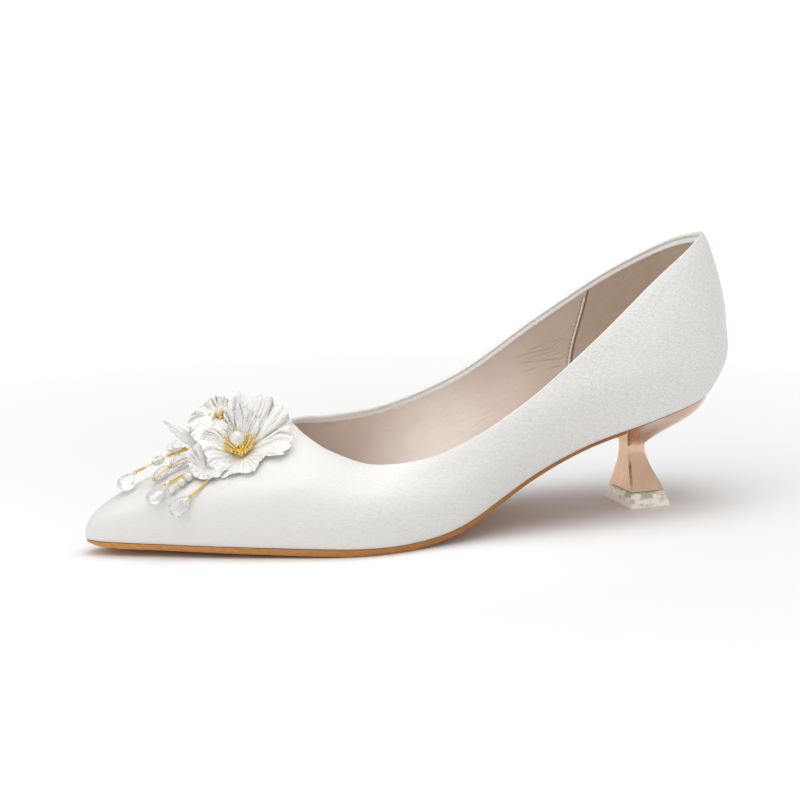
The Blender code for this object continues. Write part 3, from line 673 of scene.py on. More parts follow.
def makeLining(size):
    fine = np.linspace(*size["fineTurns"], size["fineColumns"])
    fine = np.concatenate([fine, np.linspace(*size["seamTurns"], size["seamColumns"])])
    turn = np.unique(np.concatenate([ringColumns(size["columns"])[:, 0], fine, 1 - fine]))[:, None]
    point, normal, up = upperFrame(turn, np.ones_like(turn))
    foot = size["foot"]
    top = 1 - (size["topEdge"] + size["edgeRound"]) / ribSpeed(turn)
    way = foot + (top - foot) * np.linspace(1.0, 0.0, size["rows"] + 1)[None] ** size["rowEase"]
    lip = point - up * size["topEdge"]
    back = np.linspace(0.0, 1.0, size["hiddenRows"])[None] * (top - foot) + foot
    backPoint, backNormal = upperFrame(turn, back)[:2]
    rows = [lip - normal * (shoe["wall"] - size["tuckIn"]), lip - normal * shoe["wall"],
            liningPoint(size, turn, way),
            backPoint - backNormal * (shoe["wall"] - size["layer"] + size["backLap"])]
    points = np.concatenate(rows + rows[:1], axis=1)
    ahead = seamAway(size, turn, way)
    # painted light and shade: lighter ahead of the seam and along the waist, darker at the counter
    waist = bell(np.abs(turn - 0.5) + 0.5 - size["paintedLightTurn"], size["paintedLightSpread"])
    paintedLight = size["frontPaintedLight"] * ease(ahead / size["frontBlend"] + 0.5)
    paintedLight = paintedLight + size["waistPaintedLight"] * waist * (1 - size["waistTop"] * way ** 3)
    # the second channel is the painted shadow in the gap beside the seam
    tone = np.stack([paintedLight, 1 - bell(ahead + size["gapBehind"], size["gapShade"])], axis=2)
    tones = [tone[:, :1], tone[:, :1], tone] + [tone[:, -1:]] * size["hiddenRows"] + [tone[:, :1]]
    addPiece("lining", gridMesh("lining", points, np.concatenate(tones, axis=1), shell=True), "lining")


# stitches beside the seam, and the holes ahead of them, in mm; first and last are ways down the seam
stitchRow = dict(
    first=0.925, last=0.10, steps=400, lead=0.6, pitch=1.75, length=1.6, radius=0.3, ahead=0.9,
    threadSteps=7, threadSides=6, bow=0.2, sink=0.08, hole=0.25, holeAhead=0.7, holeSink=0.02, holeSides=8,
)


def makeStitches(size, sheet):
    threads, holes = [], []
    way = np.linspace(size["first"], size["last"], size["steps"])
    seam = seamTurn(sheet, way) + size["ahead"] / roundMm
    share = np.linspace(0.0, 1.0, size["threadSteps"])
    bow = np.sin(share * math.pi)[:, None] * size["bow"] - size["sink"]
    for side in (1, -1):
        turn = 0.5 + side * (seam - 0.5)
        line = liningPoint(sheet, turn[:, None], way[:, None])[:, 0]
        inner = liningPoint(sheet, turn[:, None], way[:, None], 1.0)[:, 0] - line
        run = runLengths(line)
        for start in np.arange(size["lead"], run[-1] - size["length"], size["pitch"]):
            at = start + size["length"] * share
            path, lift = pointsAt(at, run, line), pointsAt(at, run, inner)
            threads.append(tubeMesh(path + lift * bow, size["radius"], size["threadSides"]))
            front = unit(np.cross(path[-1] - path[0], lift[0])) * side * size["holeAhead"]
            place = path[0] + front - lift[0] * size["holeSink"]
            # a hole is a dark ball, painted shade of the needle hole
            holes.append(ballMesh(place, size["hole"], size["holeSides"]))
    addPiece("seam_stitches", joinMeshes("seam_stitches", threads), "thread")
    addPiece("stitch_holes", joinMeshes("stitch_holes", holes), "hole")
    print("lining:", len(threads), "stitches")


makeLining(liningSheet)
makeStitches(stitchRow, liningSheet)

# sock over the insole, outsole and heel all follow the sole's outline

def soleOutline(inset):
    ring = controls[0][:, :2]
    ring = ring - ringOutward(ring) * inset
    toe = int(np.argmin(ring[:, 0]))
    ring = np.roll(ring, -toe, axis=0)
    heel = int(np.argmax(ring[:, 0]))
    return ring[:heel + 1], np.vstack([ring[heel:], ring[:1]])[::-1]


def sidesAt(outline, station):
    return [np.interp(station, side[:, 0], side[:, 1]) for side in outline]


def easedStations(first, last, count):
    return first + (last - first) * 0.5 * (1 - np.cos(np.linspace(0.0, math.pi, count + 1)))


def sectionMesh(name, stations, section):
    # sections as rings of (side, height) at each station
    points = np.array([[(s, y, z) for y, z in section(s)] for s in stations])
    points = np.concatenate([points, points[:, :1]], axis=1) - origin
    return gridMesh(name, points.transpose(1, 0, 2), shell=True)


sockLayer = dict(stations=150, across=36, inset=1.9, top=2.2, thickness=1.8, curl=1.1, curlPower=7)


def makeSock(size):
    outline = soleOutline(size["inset"])
    ends = outline[0][[0, -1], 0] + [shoe["endTrim"], -shoe["endTrim"]]
    share = np.sin(np.linspace(-0.5, 0.5, size["across"] + 1) * math.pi)

    def section(station):
        outer, inner = sidesAt(outline, station)
        top = edgeHeight(station)[0] + size["top"]
        under = top - size["thickness"]
        side = 0.5 * (outer + inner) + 0.5 * (inner - outer) * share
        curled = top + size["curl"] * np.abs(share) ** size["curlPower"]
        return list(zip(side, curled)) + [(inner, under), (outer, under)]

    stations = easedStations(*ends, size["stations"])
    addPiece("sock", sectionMesh("sock", stations, section), "sock", ["insole"], sharp=50)


# thickness rows are (station as a share of the length, mm); draw is mm that the lower edge is rounded in by
outsole = dict(
    stations=170, breast=0.819, tread=(0.352, 0.452),
    thickness=((0.000, 0.6), (0.012, 1.6), (0.024, 2.0), (0.040, 2.15), (0.100, 2.15), (0.200, 2.4),
               (0.300, 2.6), (0.480, 2.5), (0.540, 2.4), (0.600, 2.2), (0.660, 1.9), (0.740, 1.5),
               (0.821, 1.2)),
    draw=0.8, drawShare=0.3, wallShare=0.5, edgeSteps=4, across=10,
)


def makeOutsole(size):
    outline = soleOutline(shoe["soleInset"])
    tread = [share * shoe["length"] for share in size["tread"]]
    rows = np.array(size["thickness"])
    turns = np.linspace(0.0, 0.5 * math.pi, size["edgeSteps"] + 1)
    across = np.linspace(1.0, 0.0, size["across"] + 1)[1:-1]

    def section(station):
        outer, inner = sidesAt(outline, station)
        top = edgeHeight(station)[0] - shoe["gap"]
        thick = spline(rows[:, 0] * shoe["length"], rows[:, 1:], [station])[0, 0]
        foot = 0.0 if tread[0] <= station <= tread[1] else max(top - thick, 0.0)
        middle = top - (top - foot) * size["wallShare"]
        pull = min(size["draw"], (inner - outer) * size["drawShare"])
        down = middle - (middle - foot) * np.sin(turns)
        inwards = pull * (1 - np.cos(turns))
        flat = [(outer + pull + (inner - outer - 2 * pull) * q, foot) for q in across]
        return ([(outer, top), (inner, top)] + list(zip(inner - inwards, down)) + flat
                + list(zip(outer + inwards[::-1], down[::-1])))

    first, last = outline[0][0, 0] + shoe["endTrim"], size["breast"] * shoe["length"]
    stations = easedStations(first, last, size["stations"])
    addPiece("outsole_edge", sectionMesh("outsole", stations, section), "sole", ["outsole"], sharp=35)


makeSock(sockLayer)
makeOutsole(outsole)
print("sock and outsole done")

# heel: cup under the seat running into a flared four-sided pillar with cut corners;
# pillar rows are (height, middle station, half length, half width) in mm
heelBlock = dict(
    breast=0.8206, breastSteps=18, sideSteps=30, backSteps=5, cupRings=30, pillarSteps=40,
    pillar=((22.5, 208.5, 3.50, 4.20), (20.0, 208.6, 3.55, 4.45), (18.0, 208.9, 3.85, 4.80),
            (16.0, 209.2, 4.20, 5.25), (14.0, 209.4, 4.65, 5.95), (12.0, 209.8, 5.20, 6.75),
            (10.0, 210.2, 5.80, 7.60), (8.0, 210.6, 6.40, 8.45), (6.0, 210.9, 6.95, 9.15)),
    chamfer=0.8,
    # how the cup leaves the seat and meets the pillar, as shares inwards and down
    cupBreast=((0.35, 0.12), (0.96, 0.50)), cupBack=((0.05, 0.58), (0.90, 0.80)),
)


def heelPoints(size):
    outline = soleOutline(shoe["soleInset"])
    breast = size["breast"] * shoe["length"]
    back = outline[0][-1, 0]
    steps, sides, cut = size["breastSteps"], size["sideSteps"], size["chamfer"]
    stations = breast + (back - breast) * np.sin(np.linspace(0.0, 0.5 * math.pi, sides + 1))
    outer, inner = sidesAt(outline, stations)
    seat = [(breast, y) for y in np.linspace(inner[0], outer[0], steps + 1)[1:-1]]
    seat += list(zip(stations, outer)) + list(zip(stations, inner))[-2::-1]
    seat = np.array([(s, y, edgeHeight(s)[0] - shoe["gap"]) for s, y in seat])

    def pillar(height, centre, halfLength, halfWidth):
        front = np.linspace(halfWidth - cut, cut - halfWidth, steps + 1)[1:-1]
        flank = np.linspace(cut - halfLength, halfLength - cut, sides - size["backSteps"])
        rear = np.linspace(halfWidth - cut, 0.0, size["backSteps"])[:-1]
        side = [(-halfLength, halfWidth - cut)] + [(x, halfWidth) for x in flank]
        side += [(halfLength, y) for y in rear]
        ring = [(centre - halfLength, y) for y in front]
        ring += [(centre + x, -y) for x, y in side] + [(centre + halfLength, 0.0)]
        ring += [(centre + x, y) for x, y in reversed(side)]
        return np.array([(s, y, height) for s, y in ring])

    neck = pillar(*size["pillar"][0])
    behind = ((seat[:, 0] - breast) / (back - breast))[:, None]
    cups = zip(np.array(size["cupBreast"]), np.array(size["cupBack"]))
    start, end = ((1 - behind) * a + behind * b for a, b in cups)
    rings = [seat * [1, 0, 1]]
    for q in np.arange(size["cupRings"]) / size["cupRings"]:
        move = 3 * q * (1 - q) ** 2 * start + 3 * q * q * (1 - q) * end + q ** 3
        rings.append(seat + (neck - seat) * move[:, [0, 0, 1]])
    rows = np.array(size["pillar"])
    knots = -rows[:, 0]
    heights = np.linspace(knots[0], knots[-1], size["pillarSteps"] + 1)
    rings += [pillar(-at, *row) for at, row in zip(heights, spline(knots, rows[:, 1:], heights))]
    rings.append(rings[-1] * [0, 0, 1] + [size["pillar"][-1][1], 0, 0])
    points = np.array(rings) - origin
    return np.concatenate([points, points[:, :1]], axis=1)


def makeHeel(size):
    points = heelPoints(size).transpose(1, 0, 2)
    addPiece("rose_gold_heel", gridMesh("heel", points, shell=True), "roseGold", ["heel"], sharp=28)


# clear block under the heel: (height, middle station, half length, half width) in mm, top and foot
clearTip = dict(top=(5.65, 210.9, 7.1, 9.2), foot=(0.0, 211.4, 8.2, 11.0), edge=0.35)


def makeTip(size):
    bm = bmesh.new()
    bmesh.ops.create_cube(bm, size=2.0)
    for vert in bm.verts:
        height, centre, halfLength, halfWidth = size["top"] if vert.co.z > 0 else size["foot"]
        place = np.array((centre + halfLength * vert.co.x, halfWidth * vert.co.y, height)) - origin
        vert.co = Vector(place * mm)
    cutEdges(bm, size["edge"], 2)
    addPiece("clear_tip", toMesh(bm, "clear_tip"), "tip", ["top_piece"], sharp=25)


makeHeel(heelBlock)
makeTip(clearTip)
print("heel done")

# flower cluster on the vamp: pleated petals in rings round their hubs

def placeFrame(place, lean=0.0):
    # a point on the upper with axes towards the toe, the outer side and along the leaning stem
    point, normal = upperFrame(*place)[:2]
    toe = np.array([-1.0, 0.0, 0.0])
    toe = unit(toe - normal * np.dot(toe, normal))
    side = np.cross(normal, toe)
    axis = normal * math.cos(math.radians(lean)) + side * math.sin(math.radians(lean))
    return point, np.array([toe, np.cross(axis, toe), axis])


def onFrame(placed, local):
    return placed[0] + np.asarray(local) @ placed[1]


# each bloom is one cup of crumpled silk; its rows are (turn, length, tilt, fold depth, rim ruffle),
# and turn 0 faces the toe, 90 the outer side
mainFlower = dict(place=(0.0172, 0.80), lean=6.0)
rearFlower = dict(place=(0.9595, 0.78), lean=24.0)
frontFlower = dict(place=(0.0146, 0.672), lean=4.0)
blooms = {
    "flower_outer": dict(
        flower=mainFlower, lift=0.8, tube=0.0, hub=1.2, tintless=0.0, seed=1, columns=760, folds=66, rows=(
            (0, 11.4, 20, 0.40, 0.5), (20, 11.2, 8, 0.30, 0.6), (40, 12.6, 4, 0.24, 0.6),
            (62, 10.8, 5, 0.22, 0.6), (90, 11.3, 4, 0.22, 0.6), (112, 9.2, 5, 0.24, 0.5),
            (129, 8.4, 5, 0.26, 0.3), (143, 14.4, 3, 0.34, 0.5), (165, 17.8, 4, 0.44, 0.6),
            (180, 19.0, 14, 0.60, 0.6), (195, 20.4, 28, 0.80, 0.6), (215, 20.6, 38, 0.90, 0.6),
            (240, 19.8, 46, 0.95, 0.6), (260, 17.0, 52, 0.85, 0.5), (285, 9.6, 54, 0.55, 0.3),
            (310, 14.5, 40, 0.50, 0.4), (336, 14.0, 32, 0.44, 0.5))),
    "flower_inner": dict(
        flower=mainFlower, lift=2.1, tube=0.0, hub=1.2, tintless=0.1, seed=2, columns=560, folds=54, rows=(
            (20, 1.2, 2, 0.14, 0.1), (65, 1.2, 0, 0.12, 0.1), (110, 1.2, 2, 0.12, 0.1),
            (150, 1.6, 8, 0.20, 0.2), (180, 4.0, 24, 0.36, 0.3), (206, 12.0, 42, 0.65, 0.5),
            (240, 15.0, 53, 0.75, 0.5), (262, 10.5, 58, 0.60, 0.4), (290, 6.6, 56, 0.40, 0.3),
            (325, 3.6, 42, 0.26, 0.2))),
    "rear_petals": dict(
        flower=rearFlower, lift=1.4, tube=8.8, hub=1.2, tintless=0.35, seed=3, columns=480, folds=40, rows=(
            (0, 12.0, 2, 0.46, 0.5), (24, 14.0, -8, 0.44, 0.6), (54, 12.0, -14, 0.44, 0.6),
            (84, 8.5, -14, 0.44, 0.5), (118, 4.6, 4, 0.34, 0.3), (152, 4.2, 26, 0.34, 0.3),
            (190, 5.2, 44, 0.44, 0.3), (236, 6.8, 52, 0.60, 0.4), (272, 7.0, 46, 0.60, 0.4),
            (308, 7.2, 34, 0.56, 0.5), (336, 9.5, 16, 0.50, 0.5))),
    "front_petals": dict(
        flower=frontFlower, lift=0.8, tube=0.0, hub=0.1, tintless=0.25, seed=4, columns=480, folds=44, rows=(
            (20, 5.9, 16, 0.34, 0.4), (60, 6.9, 6, 0.26, 0.4), (100, 9.1, 3, 0.24, 0.5),
            (140, 9.1, 3, 0.26, 0.3), (185, 7.7, 10, 0.34, 0.2), (218, 8.1, 40, 0.46, 0.2),
            (250, 9.5, 55, 0.56, 0.3), (282, 8.7, 52, 0.60, 0.4), (305, 7.7, 42, 0.56, 0.4),
            (340, 5.7, 26, 0.46, 0.4))),
}
# the silk of all blooms: cells are hills of a crumple round the hub and along the reach
silk = dict(
    steps=34, bend=2.5, tubeTilt=85.0, thickness=0.14, ragged=0.05, twist=7.0, wanderCells=(23, 3),
    rimDroop=16.0, droopCells=(17, 2), ruffleCells=(31, 2), fineCells=8,
    foldReach=0.6, foldPower=0.8, pleatReach=0.8, swellReach=1.4,
    foldShare=0.62, pleatShare=0.34, fineShare=0.22,
    # shade keys: painted shade that darkens the fold valleys
    shade=0.62, shadeRange=0.5, shadeMiddle=0.25, fullShade=0.5, leastShade=0.3,
)


def roundHub(turn, rows, which):
    # a row's value eased from each turn to the next, round the hub
    rows = np.array(rows[-1:] + rows + rows[:1], float)
    rows[0, 0] -= 360.0
    rows[-1, 0] += 360.0
    values = rows[:, which]
    step = np.interp(turn, rows[:, 0], np.arange(len(rows)))
    low = np.minimum(step.astype(int), len(rows) - 2)
    return values[low] + (values[low + 1] - values[low]) * ease(step - low)


def crumple(rng, around, along, cells):
    # smooth random heights, as many hills round the hub and along the reach as cells says
    hills = rng.uniform(-1.0, 1.0, (cells[0], cells[1] + 2))
    x, y = np.broadcast_arrays(around * cells[0], along * cells[1])
    i, j = np.floor(x).astype(int), np.floor(y).astype(int)
    acrossShare, alongShare = ease(x - i), ease(y - j)
    near, far = (hills[i % cells[0], k] * (1 - acrossShare) + hills[(i + 1) % cells[0], k] * acrossShare
                 for k in (j, j + 1))
    return near * (1 - alongShare) + far * alongShare


def bloomPoints(bloom, cloth):
    # points of one bloom in its flower's frame, with painted fold shade and reach
    rng = np.random.default_rng(bloom["seed"])
    folds, tube = bloom["folds"], bloom["tube"]
    around = np.linspace(0.0, 1.0, bloom["columns"] + 1)[:, None]
    around[-1] = 0.0
    reach = np.linspace(0.0, 1.0, cloth["steps"] + 1)[None]
    turn = 360.0 * around
    length, tilt, depth, ruffle = (roundHub(turn, bloom["rows"], which) for which in (1, 2, 3, 4))
    length = length * (1 + cloth["ragged"] * crumple(rng, around, 0.0, (folds, 1))
                       + 0.5 * cloth["ragged"] * crumple(rng, around, 0.0, (3 * folds, 1)))
    total = length + tube
    beyond = np.clip((reach * total - tube) / length, 0.0, 1.0)  # past the tube
    stem = cloth["tubeTilt"] if tube else 0.0
    slope = stem + (tilt - stem) * ease(beyond * length / cloth["bend"])
    droop = crumple(rng, around, beyond, cloth["droopCells"])
    slope = np.radians(slope - cloth["rimDroop"] * beyond ** 4 * droop)
    step = total / cloth["steps"]
    out = bloom["hub"] + np.cumsum(np.cos(slope) * step, axis=1) - np.cos(slope[:, :1]) * step
    up = bloom["lift"] + np.cumsum(np.sin(slope) * step, axis=1) - np.sin(slope[:, :1]) * step
    # folds run out from the hub, wander and split; fine crumples lie between them
    wander = around + cloth["twist"] / 360.0 * beyond * crumple(rng, around, beyond, cloth["wanderCells"])
    fold = np.abs(crumple(rng, wander, cloth["foldReach"] * beyond, (folds, 2))) ** cloth["foldPower"]
    pleat = np.abs(crumple(rng, wander, cloth["pleatReach"] * beyond, (2 * folds + 5, 2)))
    fine = crumple(rng, around, beyond, (3 * folds, cloth["fineCells"]))
    height = (cloth["foldShare"] * (1 - 2 * fold) + cloth["pleatShare"] * (1 - 2 * pleat)
              + cloth["fineShare"] * fine)
    swell = depth * ease(beyond * cloth["swellReach"]) * height
    swell = swell + ruffle * crumple(rng, around, beyond, cloth["ruffleCells"]) * beyond ** 3
    angle = np.radians(turn)
    point = np.stack(np.broadcast_arrays(out * np.cos(angle), out * np.sin(angle), up), axis=2)
    face = np.stack([-np.sin(slope) * np.cos(angle), -np.sin(slope) * np.sin(angle), np.cos(slope)], axis=2)
    beyond = bloom["tintless"] + (1 - bloom["tintless"]) * beyond  # less tint at the root
    # painted shade: darker in the fold valleys, less so where the folds are shallow
    deep = np.clip(depth / cloth["fullShade"], cloth["leastShade"], 1.0)
    shade = cloth["shade"] + cloth["shadeRange"] * (height - cloth["shadeMiddle"]) * deep
    return point + face * swell[..., None], np.stack([shade, beyond], axis=2)


def makeBloom(name, bloom, cloth):
    points, uv = bloomPoints(bloom, cloth)
    placed = placeFrame(**bloom["flower"])
    piece = addPiece(name + "_silk", gridMesh(name, onFrame(placed, points), uv), "petal", [name])
    thicken(piece, cloth["thickness"])


for name, bloom in blooms.items():
    makeBloom(name, bloom, silk)
print("petals done")

# leaf: angles in degrees, lengths in mm; the side veins slant by slant of the half width
leafPetal = dict(
    place=(0.975, 0.722), rise=55.0, twist=118.0, length=19.0, halfWidth=2.5, end=0.12, fullness=0.8,
    cup=0.06, root=1.31, columns=32, rows=72, veins=5.5, slant=0.35, vein=0.3, veinShade=0.22,
    midrib=0.35, ribWidth=0.12, bow=0.8, bowTurn=3.0, rootTint=0.35, thickness=0.2,
)


def makeLeaf(size):
    point, axes = placeFrame(size["place"])
    toe, side, normal = axes
    rise, twist = math.radians(size["rise"]), math.radians(size["twist"])
    along = toe * math.cos(rise) + normal * math.sin(rise)
    face = np.cross(side, along)
    acrossLeaf = side * math.cos(twist) - face * math.sin(twist)
    face = face * math.cos(twist) + side * math.sin(twist)
    share = np.linspace(-1.0, 1.0, size["columns"] + 1)[:, None, None]
    way = np.linspace(0.0, 1.0, size["rows"] + 1)[None, :, None]
    belly = np.sin(math.pi * way ** size["fullness"]) ** size["fullness"]
    offset = share * (size["halfWidth"] * (size["end"] * (1 - way) + (1 - 0.5 * size["end"]) * belly))
    veined = np.abs(np.sin(math.pi * (size["veins"] * (way - size["slant"] * np.abs(share)))))
    lift = -size["cup"] * offset ** 2 - size["vein"] * veined * np.abs(share)
    lift = lift + size["midrib"] * bell(share, size["ribWidth"])
    lift = lift - size["bow"] * np.sin(size["bowTurn"] * way) * way
    points = point + normal * size["root"] + along * (size["length"] * way)
    points = points + acrossLeaf * offset + face * lift
    tint = size["rootTint"] + (1 - size["rootTint"]) * way
    uv = np.concatenate(np.broadcast_arrays(1.0 - size["veinShade"] * veined ** 3, tint), axis=2)
    thicken(addPiece("leaf_petal", gridMesh("leaf", points, uv), "petal", ["leaf"]), size["thickness"])


makeLeaf(leafPetal)

# gold stamens, pearls and their settings: stamens run from the foot in front of the pearl to their tips,
# in mm towards toe, outer side and up; a crumb's last number is its radius
stamenCrown = dict(
    lift=3.2, hub=1.2, hubWire=0.5, wire=0.4, knurl=0.2, head=0.46, steps=26, sag=0.7, foot=(0.2, 2.3, 2.5),
    tips=((3.9, -3.5, 7.4), (4.5, -2.5, 5.2), (4.6, -2.2, 3.4), (3.0, -2.6, 6.0), (-5.0, 0.1, 6.8),
          (-6.0, 0.2, 4.7), (-3.8, 1.8, 3.2), (-4.0, -0.9, 6.2), (1.6, 0.6, 3.4), (-1.6, 2.0, 3.2),
          (-0.8, -2.6, 9.6)),
    crumbs=((0.2, 2.6, 2.4, 0.62), (1.2, 2.4, 2.5, 0.55), (-0.9, 2.7, 2.5, 0.6), (2.2, 1.6, 2.8, 0.55),
            (-1.9, 2.3, 2.7, 0.52), (3.0, 0.4, 3.0, 0.5), (-2.8, 1.4, 3.0, 0.5), (0.7, 3.2, 2.1, 0.42)),
)
# a pearl's crumbs are (turn, rise from its middle, distance, radius); its cup is (lift, radius, wire)
pearlSet = dict(
    flowerRadius=2.55, flowerLift=7.4, rearRadius=2.25, rearLift=12.6, beadRadius=0.8, beadRise=26.0,
    girdle=0.22, cup=(10.9, 1.5, 0.55),
    crumbs=((62.0, -0.9, 3.1, 0.75), (92.0, -1.3, 3.0, 0.8), (120.0, -0.8, 3.2, 0.6),
            (15.0, -0.6, 3.9, 0.5), (335.0, -0.4, 4.2, 0.45), (200.0, -0.6, 3.0, 0.5)),
)
goldSides = dict(wire=8, coil=6, crumb=14, bead=20)  # segments round a gold piece


def makeStamens(size):
    placed = placeFrame(**mainFlower)
    parts = [ringMesh(onFrame(placed, (0, 0, size["lift"])), placed[1][2], size["hub"], size["hubWire"])]
    knurl = 1 + size["knurl"] * np.cos(math.pi * np.arange(size["steps"] + 1))  # twisted bullion wire
    foot = np.array(size["foot"])
    for tip in size["tips"]:
        middle = 0.5 * (foot + tip) - (0.0, 0.0, size["sag"])
        path = smoothPath(onFrame(placed, (foot, middle, tip)), size["steps"] + 1)
        parts.append(tubeMesh(path, size["wire"] * knurl, goldSides["wire"]))
        parts.append(ballMesh(path[-1], size["head"], goldSides["crumb"]))
    for *local, radius in size["crumbs"]:
        parts.append(ballMesh(onFrame(placed, local), radius, goldSides["crumb"]))
    addPiece("gold_stamens", joinMeshes("stamens", parts), "gold", ["stamens"])


def makePearls(size):
    centre = onFrame(placeFrame(**mainFlower), (0, 0, size["flowerLift"]))
    addPiece("flower_pearl_set", ballMesh(centre, size["flowerRadius"]), "pearl", ["flower_pearl"])
    placed = placeFrame(**rearFlower)
    stem, radius, lift = placed[1][2], size["rearRadius"], size["rearLift"]
    centre = onFrame(placed, (0, 0, lift))
    addPiece("rear_pearl_set", ballMesh(centre, radius), "pearl", ["rear_pearl"])
    rise = math.radians(size["beadRise"])
    off = radius + size["beadRadius"]
    seat = onFrame(placed, (0, off * math.cos(rise), lift + off * math.sin(rise)))
    cupLift, cupRadius, cupWire = size["cup"]
    parts = [ballMesh(seat, size["beadRadius"], goldSides["bead"]),
             ringMesh(centre, stem, radius, size["girdle"]),
             ringMesh(onFrame(placed, (0, 0, cupLift)), stem, cupRadius, cupWire)]
    for turn, up, away, crumb in size["crumbs"]:
        angle = math.radians(turn)
        local = (away * math.cos(angle), away * math.sin(angle), lift + up)
        parts.append(ballMesh(onFrame(placed, local), crumb, goldSides["crumb"]))
    addPiece("rear_gold_beads", joinMeshes("rear_bead", parts), "gold", ["rear_bead"])


makeStamens(stamenCrown)
makePearls(pearlSet)
print("stamens and pearls done")

# strands: gold wires with coils and beads, ending in clear drops; places are (turn, way, lift)
strandWires = {
    "wire_ridge": ((0.986, 0.74, 0.8), (0.978, 0.67, 4.0), (0.970, 0.60, 4.0), (0.9745, 0.53, 3.9),
                   (0.9882, 0.461, 4.0)),
    "wire_middle": ((0.0115, 0.640, 0.7), (0.0125, 0.60, 0.9), (0.015, 0.55, 0.9), (0.025, 0.49, 1.6)),
    "wire_side": ((0.035, 0.66, 0.8), (0.044, 0.59, 0.9), (0.055, 0.48, 0.9), (0.060, 0.42, 1.5)),
}
wireBar = dict(steps=60, radius=0.22, coilWire=0.16, coilPitch=0.55, coilSteps=10, loop=0.7, loopWire=0.17)
# each coil is where it starts and ends along its wire, and its radius in mm
coils = {"wire_ridge": ((0.27, 0.52, 0.75), (0.84, 0.97, 0.3)),
         "wire_middle": ((0.20, 0.80, 0.3),), "wire_side": ((0.20, 0.92, 0.3),)}


def alongPath(path, shares):
    run = runLengths(path)
    return pointsAt(np.asarray(shares) * run[-1], run, path)


def wirePath(places):
    return smoothPath([lifted(*place) for place in places], wireBar["steps"])


def coilPath(path, size, first, last, radius):
    length = np.linalg.norm(np.diff(path, axis=0), axis=1).sum()
    shares = np.arange(first, last, size["coilPitch"] / size["coilSteps"] / length)
    centre = alongPath(path, shares)
    along = unit(np.gradient(centre, axis=0))
    across = unit(np.cross(along, (0.1, 0.2, 1.0)))
    turn = 2 * math.pi * (shares * length / size["coilPitch"])[:, None]
    return centre + radius * (np.cos(turn) * across + np.sin(turn) * np.cross(along, across))


def makeWires(size):
    for name, places in strandWires.items():
        path = wirePath(places)
        parts = [tubeMesh(path, size["radius"], goldSides["wire"])]
        for coil in coils[name]:
            parts.append(tubeMesh(coilPath(path, size, *coil), size["coilWire"], goldSides["coil"]))
        level = np.cross(path[-1] - path[-2], (0.0, 0.0, 1.0))
        parts.append(ringMesh(path[-1], level, size["loop"], size["loopWire"]))
        addPiece(name + "_twisted", joinMeshes(name, parts), "gold", [name])


# drops are (turn, way, lift, half length, half width, half thickness, roll to the outer side, facets)
drops = {
    "drop_ridge": (0.9962, 0.425, 3.3, 4.9, 3.7, 2.7, 28.0, 0),
    "drop_middle": (0.0345, 0.420, 2.0, 4.8, 3.9, 2.2, 0.0, 0),
    "drop_side": (0.0640, 0.338, 1.95, 4.4, 3.7, 2.1, 0.0, 10),
}
dropCut = dict(segments=40, rings=28, cutRings=8, taper=0.55, tip=0.12, edge=0.1)


def makeDrops(size):
    for name, (turn, way, lift, halfLength, halfWidth, halfThick, roll, facets) in drops.items():
        point, normal = upperFrame(turn, way)[:2]
        centre = point + normal * lift
        along = unit(lifted(*strandWires["wire_" + name.split("_")[1]][-1]) - centre)
        side, angle = unit(np.cross(normal, along)), math.radians(roll)
        face = np.cross(along, side)
        axes = np.array([along, side * math.cos(angle) + face * math.sin(angle),
                         face * math.cos(angle) - side * math.sin(angle)])
        bm = bmesh.new()
        bmesh.ops.create_uvsphere(bm, u_segments=facets or size["segments"],
                                  v_segments=size["cutRings"] if facets else size["rings"], radius=1.0)
        for vert in bm.verts:
            x = vert.co.z
            slim = (0.5 * (1.0 - x) + size["tip"]) ** size["taper"]
            local = np.array((x * halfLength, vert.co.x * slim * halfWidth, vert.co.y * slim * halfThick))
            vert.co = Vector((centre + local @ axes) * mm)
        if facets:
            cutEdges(bm, size["edge"], 1)
        addPiece(name + "_cut", toMesh(bm, name), "crystal", [name], sharp=8 if facets else None)


# round beads are (turn, way, lift, radius)
beads = {
    "bead_clear": (0.9760, 0.630, 6.4, 1.9),
    "pearl_front": (0.0383, 0.465, 1.65, 1.35),
    "pearl_rear": (0.0331, 0.529, 1.8, 1.5),
}
smallStrand = dict(
    wire=((0.022, 0.64, 0.9), (0.0287, 0.575, 2.0), (0.0331, 0.529, 1.8), (0.0383, 0.465, 1.65)),
    pearl=(0.0287, 0.575, 2.0, 1.65), radius=0.16)
# long beads on a fourth strand and on the ridge wire are (first, last, radius) along it,
# and the gold spacers (share along it, radius)
longBeads = dict(
    strand=((0.005, 0.70, 1.2), (0.9977, 0.655, 3.0), (0.9997, 0.599, 3.0), (0.003, 0.545, 2.6),
            (0.007, 0.50, 2.2)),
    own=((0.26, 0.58, 2.1), (0.66, 0.97, 1.75)), ridge=((0.58, 0.72, 1.5),),
    clear=(0.9715, 0.600, 6.3, 1.55), spacers=((0.62, 0.75), (0.985, 0.6), (0.22, 0.6)),
    steps=25, sides=24, bore=0.35, flat=0.04, barrel=0.4, ribs=7, rib=0.1, wire=0.22,
)


def roundBead(turn, way, lift, radius, segments=32):
    return ballMesh(lifted(turn, way, lift), radius, segments)


def longBead(path, first, last, radius, size):
    # a ribbed barrel on its wire
    share = np.linspace(0.0, 1.0, size["steps"])
    swell = np.sin(math.pi * np.clip(share, size["flat"], 1 - size["flat"])) ** size["barrel"]
    girth = size["bore"] + (radius - size["bore"]) * swell
    girth = girth * (1 + size["rib"] * np.cos(2 * math.pi * size["ribs"] * share))
    return tubeMesh(alongPath(path, first + (last - first) * share), girth, size["sides"])


